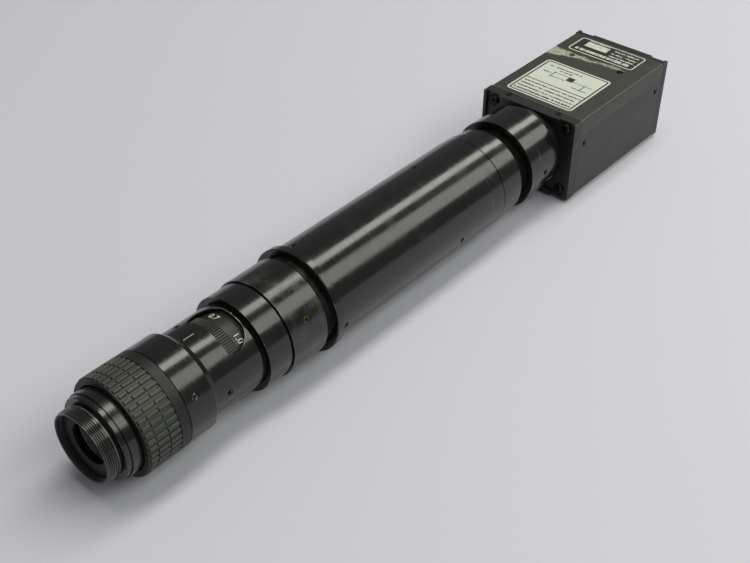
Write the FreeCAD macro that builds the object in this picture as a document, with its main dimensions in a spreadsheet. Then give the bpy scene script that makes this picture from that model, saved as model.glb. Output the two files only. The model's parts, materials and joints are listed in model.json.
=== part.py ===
import FreeCAD, Part
import math
import os
import Sketcher

# Machine vision camera: a zoom microscope lens, its extension tube and C-mount coupler,
# and the video camera they are screwed to.
# +X runs along the optical axis from the lens to the back of the camera, +Z is up.
# The origin is at the middle of the length, under the axis, at the height on which it rests.
# Every size is in millimetres, every angle in degrees.

SIZES = {
    # Fits: between pieces screwed together, between pieces that turn or slide, and in seams
    "fit": 0.02,
    "running_gap": 0.05,
    "end_gap": 0.3,
    "ring_gap": 0.25,
    "barrel_wall": 0.75,
    # Nose of the front cell
    "nose_reach": 9.7,
    "nose_length": 22.0,
    "nose_radius": 13.0,
    "thread_radius": 10.9,
    "thread_length": 4.0,
    "thread_relief": 0.6,
    "relief_depth": 0.7,
    "neck_depth": 0.4,
    "neck_length": 1.7,
    "nose_bore": 9.9,
    "rim_chamfer": 0.3,
    "nose_wall": 1.5,
    "retainer_front": 2.0,
    "retainer_length": 1.2,
    "retainer_bore": 6.2,
    "retainer_cone": 1.2,
    "retainer_edge": 0.8,
    "front_aperture": 5.8,
    "front_lens_thickness": 3.4,
    "front_lens_radius": 7.6,
    "front_lens_rise": 0.8,
    "front_lens_hollow": 0.4,
    "front_lens_seat": 0.8,
    # Focus ring and its rubber grip
    "focus_length": 14.35,
    "focus_flange": 0.5,
    "focus_flange_drop": 0.3,
    "focus_web": 0.9,
    "focus_wall": 0.6,
    "ring_step": 1.7,
    "grip_proud": 0.05,
    "grip_length": 10.75,
    # Front barrel
    "front_barrel_length": 8.8,
    "bevel_length": 2.2,
    "spigot_length": 9.3,
    # Zoom barrel, its windows and the guide tube inside it
    "barrel_radius": 13.5,
    "barrel_step": 0.6,
    "window_barrel_length": 17.3,
    "barrel_chamfer": 0.4,
    "window_wall": 1.25,
    "window_front": 4.8,
    "window_length": 11.9,
    "window_half_span": 40.0,
    "window_ledge": 3.2,
    "window_relief": 0.35,
    "window_angle": 11.0,
    "rim_groove": 0.8,
    "barrel_bridge": 5.9,
    "tail_length": 7.1,
    "guide_wall": 0.95,
    "guide_inset": 4.0,
    "guide_slot_width": 1.9,
    # Zoom ring on the cam tube
    "zoom_ring_thickness": 1.6,
    "zoom_ring_length": 10.6,
    "zoom_ring_inset": 8.1,
    "knurl_length": 4.0,
    "numeral_band": 4.0,
    "numeral_band_depth": 0.2,
    "cam_wall": 1.0,
    "cam_slot_width": 2.2,
    "zoom_min": -123.0,
    "zoom_max": 12.0,
    "slot_end_angle": 9.0,
    "variator_lead": 16.0,
    "compensator_lead": 10.6667,
    "variator_place": 13.4,
    "compensator_place": 19.7,
    "cell_length": 5.0,
    "cell_wall": 0.9,
    "cell_lip": 0.7,
    "moving_lens_thickness": 2.4,
    "moving_lens_rise": 0.5,
    "pin_radius": 0.9,
    "pin_angle": 90.0,
    "pin_depth": 0.8,
    "pin_drop": 0.2,
    # Engraved rear ring with the rear lens cell
    "rear_ring_length": 8.4,
    "rear_ring_groove": 0.5,
    "hub_length": 2.4,
    "groove_depth": 0.6,
    "rear_spigot_radius": 13.4,
    "rear_spigot_length": 10.7,
    "rear_spigot_wall": 1.9,
    "rear_cell_length": 8.0,
    "rear_lens_radius": 8.4,
    "rear_lens_thickness": 3.6,
    "rear_lens_lip": 1.0,
    "rear_lens_rise": 0.7,
    # Coupling ring between the zoom lens and the tube
    "coupling_radius": 15.7,
    "coupling_length": 13.5,
    "coupling_taper": 1.1,
    "coupling_taper_depth": 0.7,
    "coupling_neck": 2.1,
    "tube_plug_length": 11.0,
    "coupling_bore": 12.0,
    # Extension tube and its flange
    "flange_radius": 17.2,
    "flange_length": 2.6,
    "flange_chamfer": 0.3,
    "tube_radius": 16.1,
    "tube_length": 73.5,
    "tube_wall": 1.8,
    "tube_cell_front": 52.4,
    "tube_cell_length": 10.0,
    "tube_lens_radius": 11.0,
    "tube_lens_thickness": 4.6,
    "tube_lens_lip": 1.0,
    "tube_lens_rise": 0.8,
    "tube_retainer_length": 1.6,
    "baffle_front": 28.0,
    "baffle_length": 3.0,
    "baffle_aperture": 8.0,
    "baffle_rim": 1.3,
    "baffle_edge": 0.6,
    # Rings behind the tube
    "band_length": 6.0,
    "band_groove": 0.6,
    "band_groove_depth": 0.7,
    "band_plug_length": 6.1,
    "band_bore": 11.2,
    "band_tail_radius": 13.0,
    "band_tail_length": 8.3,
    "step_radius": 15.9,
    "step_length": 4.3,
    "adapter_radius": 15.35,
    "adapter_length": 5.6,
    "adapter_taper": 4.0,
    "adapter_end_radius": 13.5,
    "adapter_neck": 1.5,
    "adapter_neck_radius": 13.0,
    "adapter_tail_radius": 11.6,
    "adapter_tail_length": 11.0,
    "adapter_bore": 10.2,
    # C-mount coupler
    "coupler_front_radius": 16.05,
    "coupler_front_length": 5.6,
    "coupler_seam": 0.1,
    "coupler_rear_radius": 15.75,
    "coupler_rear_length": 9.4,
    "coupler_chamfer": 0.4,
    "coupler_bore": 10.6,
    "cmount_radius": 12.65,
    "cmount_thread_length": 4.0,
    # Set screws
    "set_screw_radius": 1.0,
    "brass_screw_radius": 1.15,
    "screw_sink": 0.25,
    "socket_depth": 0.9,
    "socket_share": 0.55,
    "front_screw_angle": 62.6,
    "zoom_screw_angle": 90.3,
    "coupling_screw_angle": 63.4,
    "tube_screw_angle": 102.0,
    "coupler_screw_angle": 90.7,
    "front_screw_offset": 3.5,
    "zoom_screw_offset": 4.3,
    "coupling_screw_offset": 7.0,
    "tube_screw_offset": 2.1,
    "coupler_screw_offset": 2.3,
    "screws_round": 3,
    # Camera housing
    "camera_width": 38.4,
    "camera_height": 30.3,
    "camera_top": 14.5,
    "camera_length": 61.4,
    "boss_length": 3.4,
    "boss_radius": 14.0,
    "frame_thickness": 4.4,
    "rear_frame_thickness": 2.8,
    "seam": 0.2,
    "face_recess": 0.9,
    "frame_rim": 1.2,
    "lip_half_width": 12.6,
    "cover_wall": 1.2,
    "cover_skirt": 5.2,
    "cover_round": 0.8,
    "ear_length": 6.0,
    "ear_thickness": 3.5,
    "ear_bottom": 1.6,
    "ear_top": 7.7,
    "filter_boss_radius": 13.2,
    "filter_boss_length": 4.0,
    "filter_radius": 9.6,
    "filter_thickness": 1.0,
    "filter_seat": 2.3,
    "sensor_bore": 8.6,
    # Corner rails and the screws of the camera
    "rail_inset_y": 4.1,
    "rail_inset_z": 2.9,
    "rail_radius": 1.55,
    "housing_screw_radius": 0.95,
    "housing_screw_length": 7.0,
    "screw_head_radius": 1.8,
    "screw_head_height": 1.05,
    "counterbore_radius": 2.4,
    "counterbore_depth": 0.3,
    "side_screw_radius": 0.8,
    "side_screw_height": 4.65,
    "side_screw_inset": 7.1,
    "rear_screw_inset": 6.6,
    "side_head_radius": 1.3,
    "side_shank_length": 3.2,
    "side_screw_sink": 0.1,
    "strip_screw_radius": 1.2,
    "strip_screw_half_pitch": 10.4,
    "strip_screw_place": 2.9,
    "strip_screw_length": 3.0,
    "strip_screw_sink": 0.15,
    # Tapped mounting holes and the bars behind them
    "mount_hole_radius": 1.25,
    "mount_hole_half_pitch": 10.3,
    "mount_hole_place": 42.4,
    "tripod_radius": 3.175,
    "bar_width": 9.0,
    "bar_thickness": 3.0,
    "bar_half_length": 13.0,
    # Circuit boards
    "board_half_width": 14.2,
    "board_gap": 0.15,
    "board_thickness": 1.2,
    "sensor_place": 12.1,
    "sensor_thickness": 2.2,
    "sensor_half_width": 7.0,
    "sensor_half_height": 6.0,
    "board_pitch": 11.5,
    "post_radius": 1.2,
    "post_half_width": 12.6,
    "post_inset": 1.7,
    # Connectors at the back
    "connector_half_pitch": 8.4,
    "bnc_flange_radius": 6.6,
    "bnc_flange": 1.6,
    "bnc_radius": 4.8,
    "bnc_bore": 4.1,
    "bnc_length": 9.5,
    "bnc_lug_radius": 0.9,
    "bnc_lug_height": 1.1,
    "bnc_lug_inset": 3.0,
    "bnc_core_inset": 1.6,
    "bnc_contact_inset": 3.2,
    "bnc_insulator_radius": 2.4,
    "bnc_contact_radius": 0.7,
    "power_flange_radius": 6.2,
    "power_radius": 5.0,
    "power_wall": 0.7,
    "power_length": 6.5,
    "power_outer_pins": 9,
    "power_inner_pins": 3,
    "power_pin_radius": 0.35,
    "power_pin_circle": 2.9,
    "power_pin_inner_circle": 1.2,
    "power_pin_inset": 4.3,
    "connector_tail": 6.0,
}

FULL_TURN = 360
QUARTER_TURN = 90
HEXAGON = 6
OCTAGON = 8
CLOSE = 1e-6

DOC = FreeCAD.newDocument("machine_vision_camera")
SHEET = DOC.addObject("Spreadsheet::Sheet", "sizes")


class Size:
    """A size that is both its present number and its expression on the sheet of sizes."""

    def __init__(self, text, value):
        self.text = text
        self.value = value

    def __add__(self, other):
        other = as_size(other)
        return Size(f"{self.text} + {other.text}", self.value + other.value)

    def __sub__(self, other):
        other = as_size(other)
        return Size(f"{self.text} - ({other.text})", self.value - other.value)

    def __mul__(self, other):
        other = as_size(other)
        return Size(f"({self.text}) * ({other.text})", self.value * other.value)

    def __truediv__(self, other):
        other = as_size(other)
        return Size(f"({self.text}) / ({other.text})", self.value / other.value)

    def __neg__(self):
        return Size(f"0 - ({self.text})", -self.value)

    def cosine(self):
        return Size(f"cos({self.text})", math.cos(math.radians(self.value)))

    def sine(self):
        return Size(f"sin({self.text})", math.sin(math.radians(self.value)))


class Dimensions:
    """Gives each named size on the sheet as a Size."""

    def __getattr__(self, name):
        return Size(f"sizes.{name}", float(SIZES[name]))


def as_size(value):
    if isinstance(value, Size):
        return value
    return Size(str(value), float(value))


def fill_sheet():
    for row, (name, value) in enumerate(SIZES.items(), start=1):
        SHEET.set(f"A{row}", name)
        SHEET.set(f"B{row}", str(value))
        SHEET.setAlias(f"B{row}", name)
    DOC.recompute()


def new_body(name, station, side=0, height=0):
    """An empty body at a station on the optical axis, or beside it."""
    body = DOC.addObject("PartDesign::Body", name)
    body.Label = name
    body.AllowCompound = True
    along = as_size(station) - middle
    across = as_size(side)
    up = d.flange_radius + as_size(height)
    body.setExpression("Placement.Base.x", along.text)
    body.setExpression("Placement.Base.y", across.text)
    body.setExpression("Placement.Base.z", up.text)
    return body


def origin_part(body, role):
    for feature in body.Origin.OriginFeatures:
        if feature.Role == role:
            return feature
    raise ValueError(f"{body.Label} has no {role}")


def new_sketch(body, name, role, lift, angle=None):
    """A sketch on one of the body's own planes, lifted along that plane's normal.

    An angle turns the plane round the X axis first, from the top towards -Y.
    """
    sketch = body.newObject("Sketcher::SketchObject", f"{body.Label}_{name}")
    sketch.AttachmentSupport = [(origin_part(body, role), "")]
    sketch.MapMode = "FlatFace"
    lift = as_size(lift)
    if angle is None:
        sketch.setExpression("AttachmentOffset.Base.z", lift.text)
        return sketch
    angle = as_size(angle)
    turn = FreeCAD.Rotation(FreeCAD.Vector(1, 0, 0), angle.value)
    sketch.AttachmentOffset = FreeCAD.Placement(FreeCAD.Vector(0, 0, 0), turn)
    sketch.setExpression("AttachmentOffset.Rotation.Angle", angle.text)
    sketch.setExpression("AttachmentOffset.Base.y", (-(lift * angle.sine())).text)
    sketch.setExpression("AttachmentOffset.Base.z", (lift * angle.cosine()).text)
    return sketch


def pin_point(sketch, geometry, corner, along, up):
    """Ties one point of a sketch to its two coordinates."""
    for kind, size in (("DistanceX", along), ("DistanceY", up)):
        size = as_size(size)
        index = sketch.addConstraint(Sketcher.Constraint(kind, -1, 1, geometry, corner, size.value))
        sketch.setExpression(f"Constraints[{index}]", size.text)


def polygon(sketch, points):
    """A closed outline through the given (along, up) points."""
    points = [(as_size(along), as_size(up)) for along, up in points]
    places = [FreeCAD.Vector(along.value, up.value, 0) for along, up in points]
    edges = []
    for start, end in zip(places, places[1:] + places[:1]):
        edges.append(sketch.addGeometry(Part.LineSegment(start, end), False))
    for edge, following in zip(edges, edges[1:] + edges[:1]):
        sketch.addConstraint(Sketcher.Constraint("Coincident", edge, 2, following, 1))
    for edge, (along, up) in zip(edges, points):
        pin_point(sketch, edge, 1, along, up)


def regular_outline(radius, sides, along=0, up=0):
    """The corners of a regular outline round a centre."""
    turns = [as_size(FULL_TURN * step / sides) for step in range(sides)]
    return [(as_size(along) + radius * turn.cosine(), as_size(up) + radius * turn.sine()) for turn in turns]


def circle(sketch, radius, along=0, up=0):
    radius = as_size(radius)
    centre = FreeCAD.Vector(as_size(along).value, as_size(up).value, 0)
    ring = sketch.addGeometry(Part.Circle(centre, FreeCAD.Vector(0, 0, 1), radius.value), False)
    index = sketch.addConstraint(Sketcher.Constraint("Radius", ring, radius.value))
    sketch.setExpression(f"Constraints[{index}]", radius.text)
    pin_point(sketch, ring, 3, along, up)


def revolve(body, sketch):
    turning = body.newObject("PartDesign::Revolution", f"{body.Label}_turning")
    turning.Profile = sketch
    turning.ReferenceAxis = (sketch, ["H_Axis"])
    turning.Angle = FULL_TURN
    return turning


def pad(body, sketch, length):
    block = body.newObject("PartDesign::Pad", f"{body.Label}_pad")
    block.Profile = sketch
    block.setExpression("Length", as_size(length).text)
    return block


def pocket(body, sketch, depth=None, outward=False):
    """A cut against the sketch's normal, or along it; with no depth it goes right through."""
    hole = body.newObject("PartDesign::Pocket", f"{body.Label}_pocket")
    hole.Profile = sketch
    hole.Reversed = outward
    if depth is None:
        hole.Type = "ThroughAll"
    else:
        hole.setExpression("Length", as_size(depth).text)
    return hole


def repeat_round(body, features, count):
    """Repeats features at equal angles round the body's X axis."""
    pattern = body.newObject("PartDesign::PolarPattern", f"{body.Label}_pattern")
    pattern.Originals = features
    pattern.Axis = (origin_part(body, "X_Axis"), [""])
    pattern.Angle = FULL_TURN
    pattern.setExpression("Occurrences", as_size(count).text)
    body.Tip = pattern
    return pattern


def turned(name, station, outline, side=0, height=0):
    """A turned piece: an outline of (along the axis, radius) points spun round its axis."""
    body = new_body(name, station, side, height)
    sketch = new_sketch(body, "outline", "XY_Plane", 0)
    polygon(sketch, outline)
    revolve(body, sketch)
    return body


def tube_outline(length, outer, inner):
    return [(0, inner), (0, outer), (length, outer), (length, inner)]


def radial_holes(body, along, angle, radius, count, seat=0):
    """Holes outwards through the wall, at equal angles, from the axis or from a seat short of it."""
    sketch = new_sketch(body, "hole", "XY_Plane", seat, angle)
    circle(sketch, radius, along)
    return repeat_round(body, [pocket(body, sketch, outward=True)], count)


def radial_pins(name, station, angle, radius, low, high, count):
    """Identical round pins that stand out from the axis at equal angles."""
    body = new_body(name, station)
    sketch = new_sketch(body, "pin", "XY_Plane", low, angle)
    circle(sketch, radius)
    repeat_round(body, [pad(body, sketch, high - low)], count)
    return body


def set_screws(name, station, angle, radius, seat, surface):
    """Set screws from their seat to just under the surface, each with a hexagon socket."""
    body = new_body(name, station)
    top = surface - d.screw_sink
    shank_sketch = new_sketch(body, "shank", "XY_Plane", seat, angle)
    circle(shank_sketch, radius)
    shank = pad(body, shank_sketch, top - seat)
    socket_sketch = new_sketch(body, "socket", "XY_Plane", top, angle)
    polygon(socket_sketch, regular_outline(radius * d.socket_share, HEXAGON))
    socket = pocket(body, socket_sketch, d.socket_depth)
    repeat_round(body, [shank, socket], d.screws_round)
    return body


def dome(sketch, rim, radius, rise):
    """One spherical face of a lens, as an arc from its rim to its crown on the axis.

    Returns the arc with the numbers of its rim end and its crown end.
    """
    rim = as_size(rim)
    curve = (radius.value ** 2 + rise.value ** 2) / (2 * abs(rise.value))
    centre = rim.value + rise.value - math.copysign(curve, rise.value)
    rim_angle = math.atan2(radius.value, rim.value - centre)
    ball = Part.Circle(FreeCAD.Vector(centre, 0, 0), FreeCAD.Vector(0, 0, 1), curve)
    if rise.value > 0:
        arc = sketch.addGeometry(Part.ArcOfCircle(ball, 0, rim_angle), False)
        crown_end, rim_end = 1, 2
    else:
        arc = sketch.addGeometry(Part.ArcOfCircle(ball, rim_angle, math.pi), False)
        crown_end, rim_end = 2, 1
    sketch.addConstraint(Sketcher.Constraint("PointOnObject", arc, 3, -1))
    pin_point(sketch, arc, rim_end, rim, radius)
    pin_point(sketch, arc, crown_end, rim + rise, 0)
    return arc, rim_end, crown_end


def lens(name, station, radius, thickness, front_rise, rear_rise):
    """A glass lens: two spherical faces and a ground edge; a rise is positive along +X."""
    body = new_body(name, station)
    sketch = new_sketch(body, "outline", "XY_Plane", 0)
    front, front_rim, front_crown = dome(sketch, 0, radius, front_rise)
    rear, rear_rim, rear_crown = dome(sketch, thickness, radius, rear_rise)
    flat = FreeCAD.Vector(0, radius.value, 0)
    edge = sketch.addGeometry(Part.LineSegment(flat, flat + FreeCAD.Vector(thickness.value, 0, 0)), False)
    crown = FreeCAD.Vector(front_rise.value, 0, 0)
    far_crown = FreeCAD.Vector(thickness.value + rear_rise.value, 0, 0)
    axis = sketch.addGeometry(Part.LineSegment(crown, far_crown), False)
    for first, first_end, second, second_end in (
        (front, front_rim, edge, 1),
        (edge, 2, rear, rear_rim),
        (front, front_crown, axis, 1),
        (axis, 2, rear, rear_crown),
    ):
        sketch.addConstraint(Sketcher.Constraint("Coincident", first, first_end, second, second_end))
    revolve(body, sketch)
    return body


def rectangle(low_y, low_z, high_y, high_z):
    return [(low_y, low_z), (high_y, low_z), (high_y, high_z), (low_y, high_z)]


def prism(name, station, outline, length):
    """A straight bar: an outline of (y, z) points, measured from the optical axis, along X."""
    body = new_body(name, station)
    sketch = new_sketch(body, "section", "YZ_Plane", 0)
    polygon(sketch, outline)
    pad(body, sketch, length)
    return body


def add_block(body, along, outline, length):
    sketch = new_sketch(body, "block", "YZ_Plane", along)
    polygon(sketch, outline)
    return pad(body, sketch, length)


def cut_block(body, along, outline, length):
    """Cuts a straight block out, from a plane across the axis towards +X."""
    sketch = new_sketch(body, "cut", "YZ_Plane", along)
    polygon(sketch, outline)
    return pocket(body, sketch, length, outward=True)


def cut_round(body, along, radius, depth, side=0, height=0):
    """Bores a round hole along +X from a plane across the axis."""
    sketch = new_sketch(body, "bore", "YZ_Plane", along)
    circle(sketch, radius, side, height)
    return pocket(body, sketch, depth, outward=True)


def drill(body, along, side, radius, level, depth, upward):
    """Drills a vertical hole from a level, up or down."""
    sketch = new_sketch(body, "drilling", "XY_Plane", level)
    circle(sketch, radius, along, side)
    return pocket(body, sketch, depth, outward=upward)


d = Dimensions()
fill_sheet()

# Stations along the optical axis, measured from the rim of the nose
focus_front = d.nose_reach
focus_rear = focus_front + d.focus_length
barrel_front = focus_rear + d.ring_gap
bevel_front = barrel_front + d.front_barrel_length
zoom_front = bevel_front + d.bevel_length
zoom_rear = zoom_front + d.window_barrel_length
rear_ring_front = zoom_rear + d.rim_groove
hub_front = rear_ring_front + d.tail_length + d.end_gap
hub_rear = hub_front + d.hub_length
cam_front = zoom_front + d.barrel_bridge + d.end_gap
variator_station = zoom_front + d.variator_place
compensator_station = zoom_front + d.compensator_place
coupling_front = rear_ring_front + d.rear_ring_length + d.rear_ring_groove
flange_front = coupling_front + d.coupling_length + d.coupling_taper + d.coupling_neck
tube_front = flange_front + d.flange_length
tube_rear = tube_front + d.tube_length
step_front = tube_rear + d.band_length + d.band_groove
adapter_front = step_front + d.step_length
coupler_front = adapter_front + d.adapter_length + d.adapter_taper + d.adapter_neck
coupler_rear = coupler_front + d.coupler_front_length + d.coupler_seam
boss_front = coupler_rear + d.coupler_rear_length
camera_front = boss_front + d.boss_length
camera_rear = camera_front + d.camera_length
middle = (camera_rear + d.bnc_length) / 2

# Radii that nest inside each other, from the outside in
ring_radius = d.barrel_radius + d.ring_step
grip_radius = ring_radius + d.grip_proud
sleeve_bore = d.nose_radius + d.running_gap
sleeve_radius = sleeve_bore + d.barrel_wall
focus_bore = sleeve_radius + d.running_gap
grip_seat = focus_bore + d.focus_wall
spigot_radius = d.barrel_radius - d.barrel_step
window_bore = d.barrel_radius - d.window_wall
zoom_ring_radius = window_bore - d.running_gap
cam_radius = zoom_ring_radius - d.zoom_ring_thickness
cam_bore = cam_radius - d.cam_wall
guide_radius = cam_bore - d.running_gap
guide_bore = guide_radius - d.guide_wall
cell_radius = guide_bore - d.running_gap
tube_bore = d.tube_radius - d.tube_wall
plug_radius = tube_bore - d.fit

# Faces of the camera housing, measured from the optical axis and from the camera's front
half_width = d.camera_width / 2
half_inside = half_width - d.cover_wall
bottom = d.camera_top - d.camera_height
ceiling = d.camera_top - d.cover_wall
box_floor = bottom + d.cover_wall
box_middle = (d.camera_top + bottom) / 2
rear_frame_front = d.camera_length - d.rear_frame_thickness
corner_side = half_width - d.rail_inset_y
rail_spots = [
    (-corner_side, d.camera_top - d.rail_inset_z),
    (corner_side, d.camera_top - d.rail_inset_z),
    (-corner_side, bottom + d.rail_inset_z),
    (corner_side, bottom + d.rail_inset_z),
]
board_inset = d.rail_inset_z + d.rail_radius + d.board_gap
board_top = d.camera_top - board_inset
board_bottom = bottom + board_inset
sensor_board_front = d.sensor_place + d.sensor_thickness
signal_board_front = sensor_board_front + d.board_pitch
power_board_front = signal_board_front + d.board_pitch


def make_front_cell():
    """The threaded nose that slides in the front barrel, with its lens and retaining ring."""
    relief_end = d.thread_length + d.thread_relief
    relief_radius = d.thread_radius - d.relief_depth
    neck_radius = d.nose_radius - d.neck_depth
    retainer_end = d.retainer_front + d.retainer_length
    pocket_end = retainer_end + d.front_lens_thickness + d.end_gap
    seat_end = pocket_end + d.front_lens_seat
    turned("front_nose", 0, [
        (0, d.nose_bore + d.rim_chamfer),
        (0, d.thread_radius - d.rim_chamfer),
        (d.rim_chamfer, d.thread_radius),
        (d.thread_length, d.thread_radius),
        (d.thread_length, relief_radius),
        (relief_end, relief_radius),
        (relief_end, neck_radius),
        (relief_end + d.neck_length, neck_radius),
        (relief_end + d.neck_length, d.nose_radius),
        (d.nose_length, d.nose_radius),
        (d.nose_length, d.nose_radius - d.nose_wall),
        (seat_end, d.nose_radius - d.nose_wall),
        (seat_end, d.front_aperture),
        (pocket_end, d.front_aperture),
        (pocket_end, d.front_lens_radius),
        (retainer_end, d.front_lens_radius),
        (retainer_end, d.nose_bore),
        (d.rim_chamfer, d.nose_bore),
    ])
    turned("front_retainer", d.retainer_front, [
        (0, d.retainer_bore + d.retainer_cone),
        (0, d.nose_bore - d.fit),
        (d.retainer_length, d.nose_bore - d.fit),
        (d.retainer_length, d.retainer_bore),
        (d.retainer_length - d.retainer_edge, d.retainer_bore),
    ])
    lens("front_lens", retainer_end + d.end_gap, d.front_lens_radius - d.fit,
         d.front_lens_thickness, -d.front_lens_rise, -d.front_lens_hollow)


def make_focus_ring():
    """The focus ring, and the rubber grip stretched over it."""
    grip_end = d.focus_flange + d.grip_length
    flange_bore = d.nose_radius + d.end_gap
    flange_radius = ring_radius - d.focus_flange_drop
    turned("focus_ring", focus_front, [
        (0, flange_bore),
        (0, flange_radius),
        (d.focus_flange, flange_radius),
        (d.focus_flange, grip_seat),
        (grip_end, grip_seat),
        (grip_end, ring_radius),
        (d.focus_length, ring_radius),
        (d.focus_length, focus_bore),
        (d.focus_web, focus_bore),
        (d.focus_web, flange_bore),
    ])
    turned("focus_grip", focus_front + d.focus_flange,
           tube_outline(d.grip_length, grip_radius, grip_seat + d.fit))


def make_front_barrel():
    """The fixed barrel: the sleeve that carries the focus ring, and the bevelled collar behind it."""
    sleeve_front = focus_front + d.focus_web + d.end_gap
    sleeve_length = barrel_front - sleeve_front
    bevel_start = sleeve_length + d.front_barrel_length
    bevel_end = bevel_start + d.bevel_length
    spigot_bore = spigot_radius + d.fit
    bore_step = bevel_end - d.spigot_length - d.end_gap
    barrel = turned("front_barrel", sleeve_front, [
        (0, sleeve_bore),
        (0, sleeve_radius),
        (sleeve_length, sleeve_radius),
        (sleeve_length, ring_radius),
        (bevel_start, ring_radius),
        (bevel_end, d.barrel_radius),
        (bevel_end, spigot_bore),
        (bore_step, spigot_bore),
        (bore_step, sleeve_bore),
    ])
    hole_radius = d.set_screw_radius + d.fit
    screw_along = sleeve_length + d.front_screw_offset
    radial_holes(barrel, screw_along, d.front_screw_angle, hole_radius, d.screws_round)
    set_screws("front_barrel_screws", barrel_front + d.front_screw_offset, d.front_screw_angle,
               d.set_screw_radius, spigot_bore, ring_radius)


def race_track(sketch, front, rear, half_span):
    """An outline with two straight sides across the axis and a half circle at each end."""
    radius = (rear - front) / 2
    centre = (front + rear) / 2
    reach = half_span - radius
    arcs = []
    for level, start in ((reach, 0), (-reach, math.pi)):
        spot = FreeCAD.Vector(centre.value, level.value, 0)
        ring = Part.Circle(spot, FreeCAD.Vector(0, 0, 1), radius.value)
        arc = sketch.addGeometry(Part.ArcOfCircle(ring, start, start + math.pi), False)
        index = sketch.addConstraint(Sketcher.Constraint("Radius", arc, radius.value))
        sketch.setExpression(f"Constraints[{index}]", radius.text)
        pin_point(sketch, arc, 3, centre, level)
        arcs.append(arc)
    sides = []
    for along, start, end in ((front, reach, -reach), (rear, -reach, reach)):
        first = FreeCAD.Vector(along.value, start.value, 0)
        last = FreeCAD.Vector(along.value, end.value, 0)
        sides.append(sketch.addGeometry(Part.LineSegment(first, last), False))
    for before, after in zip((arcs[0], sides[0], arcs[1], sides[1]), (sides[0], arcs[1], sides[1], arcs[0])):
        sketch.addConstraint(Sketcher.Constraint("Tangent", before, 2, after, 1))


def make_zoom_barrel():
    """The zoom barrel with an oval window on each side, and the tube that guides the moving cells."""
    barrel_station = zoom_front - d.spigot_length
    body_end = d.spigot_length + d.window_barrel_length
    bridge_end = d.spigot_length + d.barrel_bridge
    tail_end = body_end + d.rim_groove + d.tail_length
    guide_hole = guide_radius + d.fit
    blank = turned("zoom_barrel_blank", barrel_station, [
        (0, guide_hole),
        (0, spigot_radius),
        (d.spigot_length, spigot_radius),
        (d.spigot_length, d.barrel_radius),
        (body_end - d.barrel_chamfer, d.barrel_radius),
        (body_end, d.barrel_radius - d.barrel_chamfer),
        (body_end, spigot_radius),
        (tail_end, spigot_radius),
        (tail_end, window_bore),
        (bridge_end, window_bore),
        (bridge_end, guide_hole),
    ])
    screw_along = d.spigot_length + d.zoom_screw_offset
    radial_holes(blank, screw_along, d.zoom_screw_angle, d.set_screw_radius + d.fit, d.screws_round)
    window_station = zoom_front + d.window_front
    clear_of_wall = d.barrel_radius + d.window_wall
    relief_floor = d.barrel_radius - d.window_relief
    ring = turned("window_ring", window_station, [
        (0, relief_floor),
        (0, clear_of_wall),
        (d.window_length, clear_of_wall),
        (d.window_length, cam_radius),
        (d.window_ledge, cam_radius),
        (d.window_ledge, relief_floor),
    ])
    oval = new_body("window_oval", window_station)
    sketch = new_sketch(oval, "outline", "XY_Plane", 0, d.window_angle)
    race_track(sketch, as_size(0), d.window_length, d.barrel_radius * d.window_half_span.sine())
    block = pad(oval, sketch, clear_of_wall * 2)
    block.Midplane = True
    cutter = DOC.addObject("Part::Common", "window_cutter")
    cutter.Base = ring
    cutter.Tool = oval
    barrel = DOC.addObject("Part::Cut", "zoom_barrel")
    barrel.Base = blank
    barrel.Tool = cutter
    set_screws("zoom_barrel_screws", zoom_front + d.zoom_screw_offset, d.zoom_screw_angle,
               d.set_screw_radius, guide_hole, d.barrel_radius)

    guide_front = barrel_station + d.guide_inset
    guide = turned("guide_tube", guide_front, tube_outline(hub_rear - guide_front, guide_radius, guide_bore))
    slot_margin = d.guide_slot_width / 2 + d.running_gap
    for station, lead in ((variator_station, d.variator_lead), (compensator_station, -d.compensator_lead)):
        ends = [station + lead * limit / FULL_TURN for limit in (d.zoom_min, d.zoom_max)]
        low, high = sorted(ends, key=lambda size: size.value)
        sketch = new_sketch(guide, "slot", "XY_Plane", 0, d.pin_angle)
        front = low - slot_margin - guide_front
        rear = high + slot_margin - guide_front
        half_width = d.guide_slot_width / 2
        polygon(sketch, [(front, -half_width), (rear, -half_width), (rear, half_width), (front, half_width)])
        repeat_round(guide, [pocket(guide, sketch, outward=True)], 2)


def helical_slot(body, station, lead, left_handed):
    """Two opposite cam slots, as long as the zoom ring's turn and a margin at each end."""
    front = station - cam_front
    if left_handed:
        start = d.zoom_min - d.slot_end_angle
    else:
        start = d.zoom_max + d.slot_end_angle
    start_along = front + lead * start / FULL_TURN * (1 if left_handed else -1)
    sweep = d.zoom_max - d.zoom_min + d.slot_end_angle * 2
    half_width = d.cam_slot_width / 2
    sketch = new_sketch(body, "cam_slot", "XY_Plane", 0, d.pin_angle - start + QUARTER_TURN)
    polygon(sketch, [
        (start_along - half_width, guide_bore),
        (start_along + half_width, guide_bore),
        (start_along + half_width, zoom_ring_radius),
        (start_along - half_width, zoom_ring_radius),
    ])
    helix = body.newObject("PartDesign::SubtractiveHelix", f"{body.Label}_helix")
    helix.Profile = sketch
    helix.ReferenceAxis = (sketch, ["H_Axis"])
    helix.Mode = 0
    helix.LeftHanded = left_handed
    helix.setExpression("Pitch", lead.text)
    helix.setExpression("Height", (lead * sweep / FULL_TURN).text)
    repeat_round(body, [helix], 2)


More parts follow.
